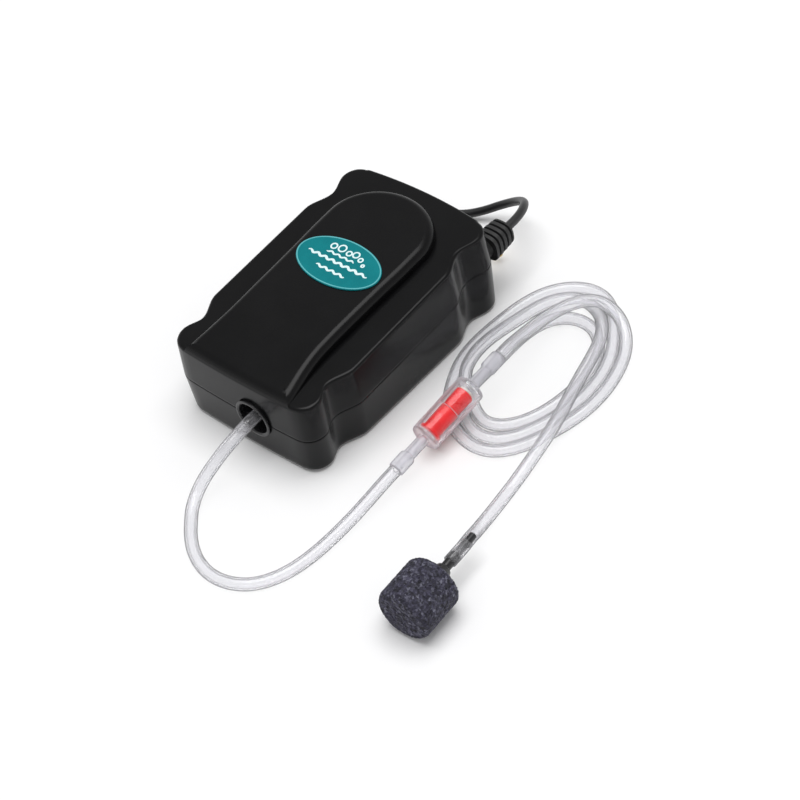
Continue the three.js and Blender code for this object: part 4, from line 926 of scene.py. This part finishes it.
upper_half = lathe("valve_shell_upper", half_shell(1), 56, ACRYLIC_TOP, VC)
lower_half = lathe("valve_shell_lower", half_shell(-1), 56, ACRYLIC, VC)
for shell in (upper_half, lower_half):
    shell.data.materials.append(BARB)
    back = VC.inverted()
    for poly in shell.data.polygons:
        c = back @ poly.center
        if abs(c.y) > 17.3 * MM:
            poly.material_index = 1
put(upper_half, "pump", "clear_acrylic", "valve_upper_half")
put(lower_half, "pump", "clear_acrylic", "valve_lower_half")
ins = rounded([(1.4, -13.6), (5.1, -13.6), (5.45, -13.2), (5.45, -12.2), (4.45, -12.0), (4.45, 11.4), (3.4, 11.4), (3.4, -10.6), (1.4, -10.8)], 0.2, 2)
insert = lathe("valve_core", ins, 56, RED, VC)
put(insert, "pump", "valve_red", "valve_insert")
dsc = [(0, 11.7), (3.6, 11.7), (3.8, 11.85), (3.8, 12.5), (3.6, 12.7), (2.6, 12.6), (0, 12.45)]
flap = lathe("valve_flap", dsc, 44, SILICONE, VC)
put(flap, "check_disc", "silicone", "valve_disc")

# ------------------------------------------------------------------ air stone
SM = Matrix.Translation((128.65 * MM, -85.3 * MM, 13.2 * MM)) @ Matrix.Rotation(math.radians(3.5), 4, "Z")
nip = [(0, 26.5), (1.5, 26.5), (1.75, 26.2), (1.75, 14.3), (1.9, 14.2), (2.3, 13.9), (2.3, 6.3), (2.6, 6.0), (3.3, 5.6), (3.6, 5.0), (4.6, 1.6), (5.3, 0.5), (5.3, 0.3), (0, 0.3)]
nipple = lathe("stone_stem", nip, 48, OUTLET, SM)
put(nipple, "pump", "outlet_black", "stone_nipple")


def grit(ob, depth):
    me = ob.data
    inv = SM.inverted()
    me.update()
    normals = [v.normal.copy() for v in me.vertices]
    for v, nrm in zip(me.vertices, normals):
        p = v.co * 1000.0
        a = noise.noise(p * 1.6)
        b = noise.noise(p * 0.75 + Vector((9, 3, 5)))
        c = noise.voronoi(p * 1.15)[0][0]
        d = 0.55 * a + 0.3 * b + (c - 0.45) * 0.9
        v.co += nrm * (depth * MM * max(-1.3, min(0.35, d)))
    me.update()


prof, steps = [], 58
R, H = 12.9, 24.2


def corner(cx, cy, r, a0, a1, n):
    return [(cx + r * math.cos(math.radians(a0 + (a1 - a0) * k / n)), cy + r * math.sin(math.radians(a0 + (a1 - a0) * k / n))) for k in range(n + 1)]


prof += [(R * 0.82 * k / 16, -0.1) for k in range(16)]
prof += corner(R - 2.9, -3.0, 2.9, 90, 0, 9)
prof += [(R, -3.0 - (H - 6.0) * k / 30) for k in range(1, 30)]
prof += corner(R - 2.9, -H + 3.0, 2.9, 0, -90, 9)
prof += [(R * 0.82 * (16 - k) / 16, -H + 0.1) for k in range(1, 17)]
prof[0] = (0.0, -0.1)
prof[-1] = (0.0, -H + 0.1)
stone = lathe("stone", prof, 132, GRIT, SM, 80.0)
grit(stone, 0.75)
put(stone, "pump", "stone_grit", "air_stone")

# ------------------------------------------------------------------ mains plug
def loft_x(name, rows, mat, cy, cz, n=64, power=3.4):
    """rows: (x, half width along Y, half height along Z)."""
    verts, faces = [], []
    for x, w, h in rows:
        for k in range(n):
            a = 2 * math.pi * k / n
            c, s = math.cos(a), math.sin(a)
            q = (abs(c) ** power + abs(s) ** power) ** (-1 / power)
            verts.append((x, cy + w * c * q, cz + h * s * q))
    for i in range(len(rows) - 1):
        for k in range(n):
            faces.append([i * n + k, i * n + (k + 1) % n, (i + 1) * n + (k + 1) % n, (i + 1) * n + k])
    faces.append(list(reversed(range(n))))
    faces.append([(len(rows) - 1) * n + k for k in range(n)])
    return solid(name, verts, faces, mat, 34.0)


body = loft_x("plug_shell", [(-18.9, 4.2, 3.9), (-18.6, 4.7, 4.2), (-16.5, 5.1, 4.5), (-12.5, 6.4, 5.2), (-8.0, 8.4, 6.0), (-4.0, 9.2, 6.15), (-3.4, 8.7, 5.8), (-2.6, 8.7, 5.8),
                             (-2.0, 9.3, 6.2), (2.5, 9.7, 6.3), (6.8, 9.8, 6.35), (7.6, 9.5, 6.1), (8.0, 9.1, 5.8), (8.0, 6.0, 3.6)], PLUG, 79.5, 6.7)
put(body, "pump", "plug_black", "plug_body")
rel = []
for k in range(5):
    x = -30.1 + 2.15 * k
    r = 2.75 + 0.28 * k
    rel += [(r, x), (r + 0.1, x + 1.2), (r - 0.5, x + 1.35), (r - 0.5, x + 1.95)]
rel = [(0.0, -30.1), (2.5, -30.1)] + rel[1:] + [(3.7, -19.2), (0.0, -19.2)]
relief = lathe("plug_boot", rel, 48, RUBBER, Matrix.Translation((0, 79.5 * MM, 6.7 * MM)) @ Matrix.Rotation(-math.pi / 2, 4, "Z"))
put(relief, "pump", "lead_black", "plug_relief")

# the rubber membrane: its rim stays clamped in the head, its centre travels with the arm
stand = shift(-6, -12, 0) @ Matrix.Rotation(math.pi / 2, 4, "X")
membrane = lathe("membrane", [(1.7, 21.7), (7.0, 21.7), (9.0, 20.4), (9.5, 18.9), (9.75, 17.9), (10.1, 17.6), (10.5, 17.6), (10.7, 17.9), (10.55, 19.6), (10.2, 21.2), (9.6, 22.0), (8.7, 22.6), (7.6, 23.0), (1.7, 23.0)], 48, SILICONE, stand)
put(membrane, "diaphragm_centre", "silicone", "diaphragm")
membrane_rim = lathe("membrane_rim", [(11.05, 16.9), (11.25, 16.7), (15.6, 16.7), (15.6, 17.8), (12.2, 17.8), (11.6, 18.3), (11.2, 18.3), (11.05, 18.1)], 48, SILICONE, stand)
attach(membrane_rim, "pump")

# ------------------------------------------------------------------ the pieces kept from the frame
KEEP = {
    STEEL: ["case_screw_1", "case_screw_2", "case_screw_3", "case_screw_4", "core_screw_1", "core_screw_2", "diaphragm_screw", "head_screw_1", "head_screw_2"],
    SHEET: ["core_strap", "swing_arm", "diaphragm_clamp", "diaphragm_washer"],
    IRON: ["magnet_core"],
    COPPER: ["coil_winding"],
    NYLON: ["bobbin", "cord_clamp", "pump_head", "valve_plate", "chamber_ring"],
    FERRITE: ["arm_magnet"],
    SILICONE: ["inlet_flap", "outlet_flap", "inner_hose"],
    WIRE: ["lead_wire_1", "lead_wire_2"],
    FELT: ["filter_felt"],
    FOOT: ["arm_mount"],
    SHEATH: ["cord_inner_end"],
    CASE: ["filter_cover"],
    BRASS: ["plug_blade_1", "plug_blade_2"],
}
for mat, names in KEEP.items():
    for nm in names:
        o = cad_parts[nm]
        o.data.materials.clear()
        o.data.materials.append(mat)

# ------------------------------------------------------------------ cord paths resampled in metres (the results are not used)
metres(P1)
metres(P2)
metres(P3)

# ------------------------------------------------------------------ studio
def floor_material():
    n = Nodes("studio_floor")
    b = n.new("ShaderNodeBsdfPrincipled")
    n.link(b.outputs["BSDF"], n.out.inputs["Surface"])
    n.link(n.ramp(n.noise(9.0, 3.0), [(0.3, (0.93, 0.93, 0.935)), (0.7, (0.95, 0.95, 0.955))]), b.inputs["Base Color"])
    b.inputs["Roughness"].default_value = 0.9
    b.inputs["Specular IOR Level"].default_value = 0.1
    return n.mat


fm = bpy.data.meshes.new("floor")
fm.from_pydata([(-6, -6, 0), (6, -6, 0), (6, 6, 0), (-6, 6, 0)], [], [[0, 1, 2, 3]])
floor = bpy.data.objects.new("floor", fm)
bpy.context.scene.collection.objects.link(floor)
fm.materials.append(floor_material())

world = bpy.data.worlds.new("world")
world.use_nodes = True
wt = world.node_tree
wc = wt.nodes.new("ShaderNodeTexCoord")
wz = wt.nodes.new("ShaderNodeSeparateXYZ")
wr = wt.nodes.new("ShaderNodeValToRGB")
wt.links.new(wc.outputs["Generated"], wz.inputs["Vector"])
wt.links.new(wz.outputs["Z"], wr.inputs["Fac"])
wt.links.new(wr.outputs["Color"], wt.nodes["Background"].inputs["Color"])
stops = [(0.0, 0.90), (0.20, 0.80), (0.46, 0.50), (1.0, 0.44)]
while len(wr.color_ramp.elements) < len(stops):
    wr.color_ramp.elements.new(0.5)
for el, (pos, v) in zip(wr.color_ramp.elements, stops):
    el.position = pos
    el.color = (v, v, v, 1.0)
wt.nodes["Background"].inputs["Strength"].default_value = 1.0
bpy.context.scene.world = world


def area(name, loc, aim, size, power):
    d = bpy.data.lights.new(name, "AREA")
    d.shape = "RECTANGLE"
    d.size, d.size_y = size
    d.energy = power
    o = bpy.data.objects.new(name, d)
    bpy.context.scene.collection.objects.link(o)
    o.location = loc
    o.rotation_euler = (Vector(aim) - Vector(loc)).to_track_quat("-Z", "Y").to_euler()
    return o


area("overhead", (0.08, 0.22, 2.3), (0.08, 0.2199, 0.0), (1.7, 1.9), 40.0)
bpy.context.scene.view_settings.view_transform = "Standard"
bpy.context.scene.view_settings.look = "None"
bpy.context.scene.view_settings.exposure = 0.0
bpy.context.scene.view_settings.gamma = 1.0
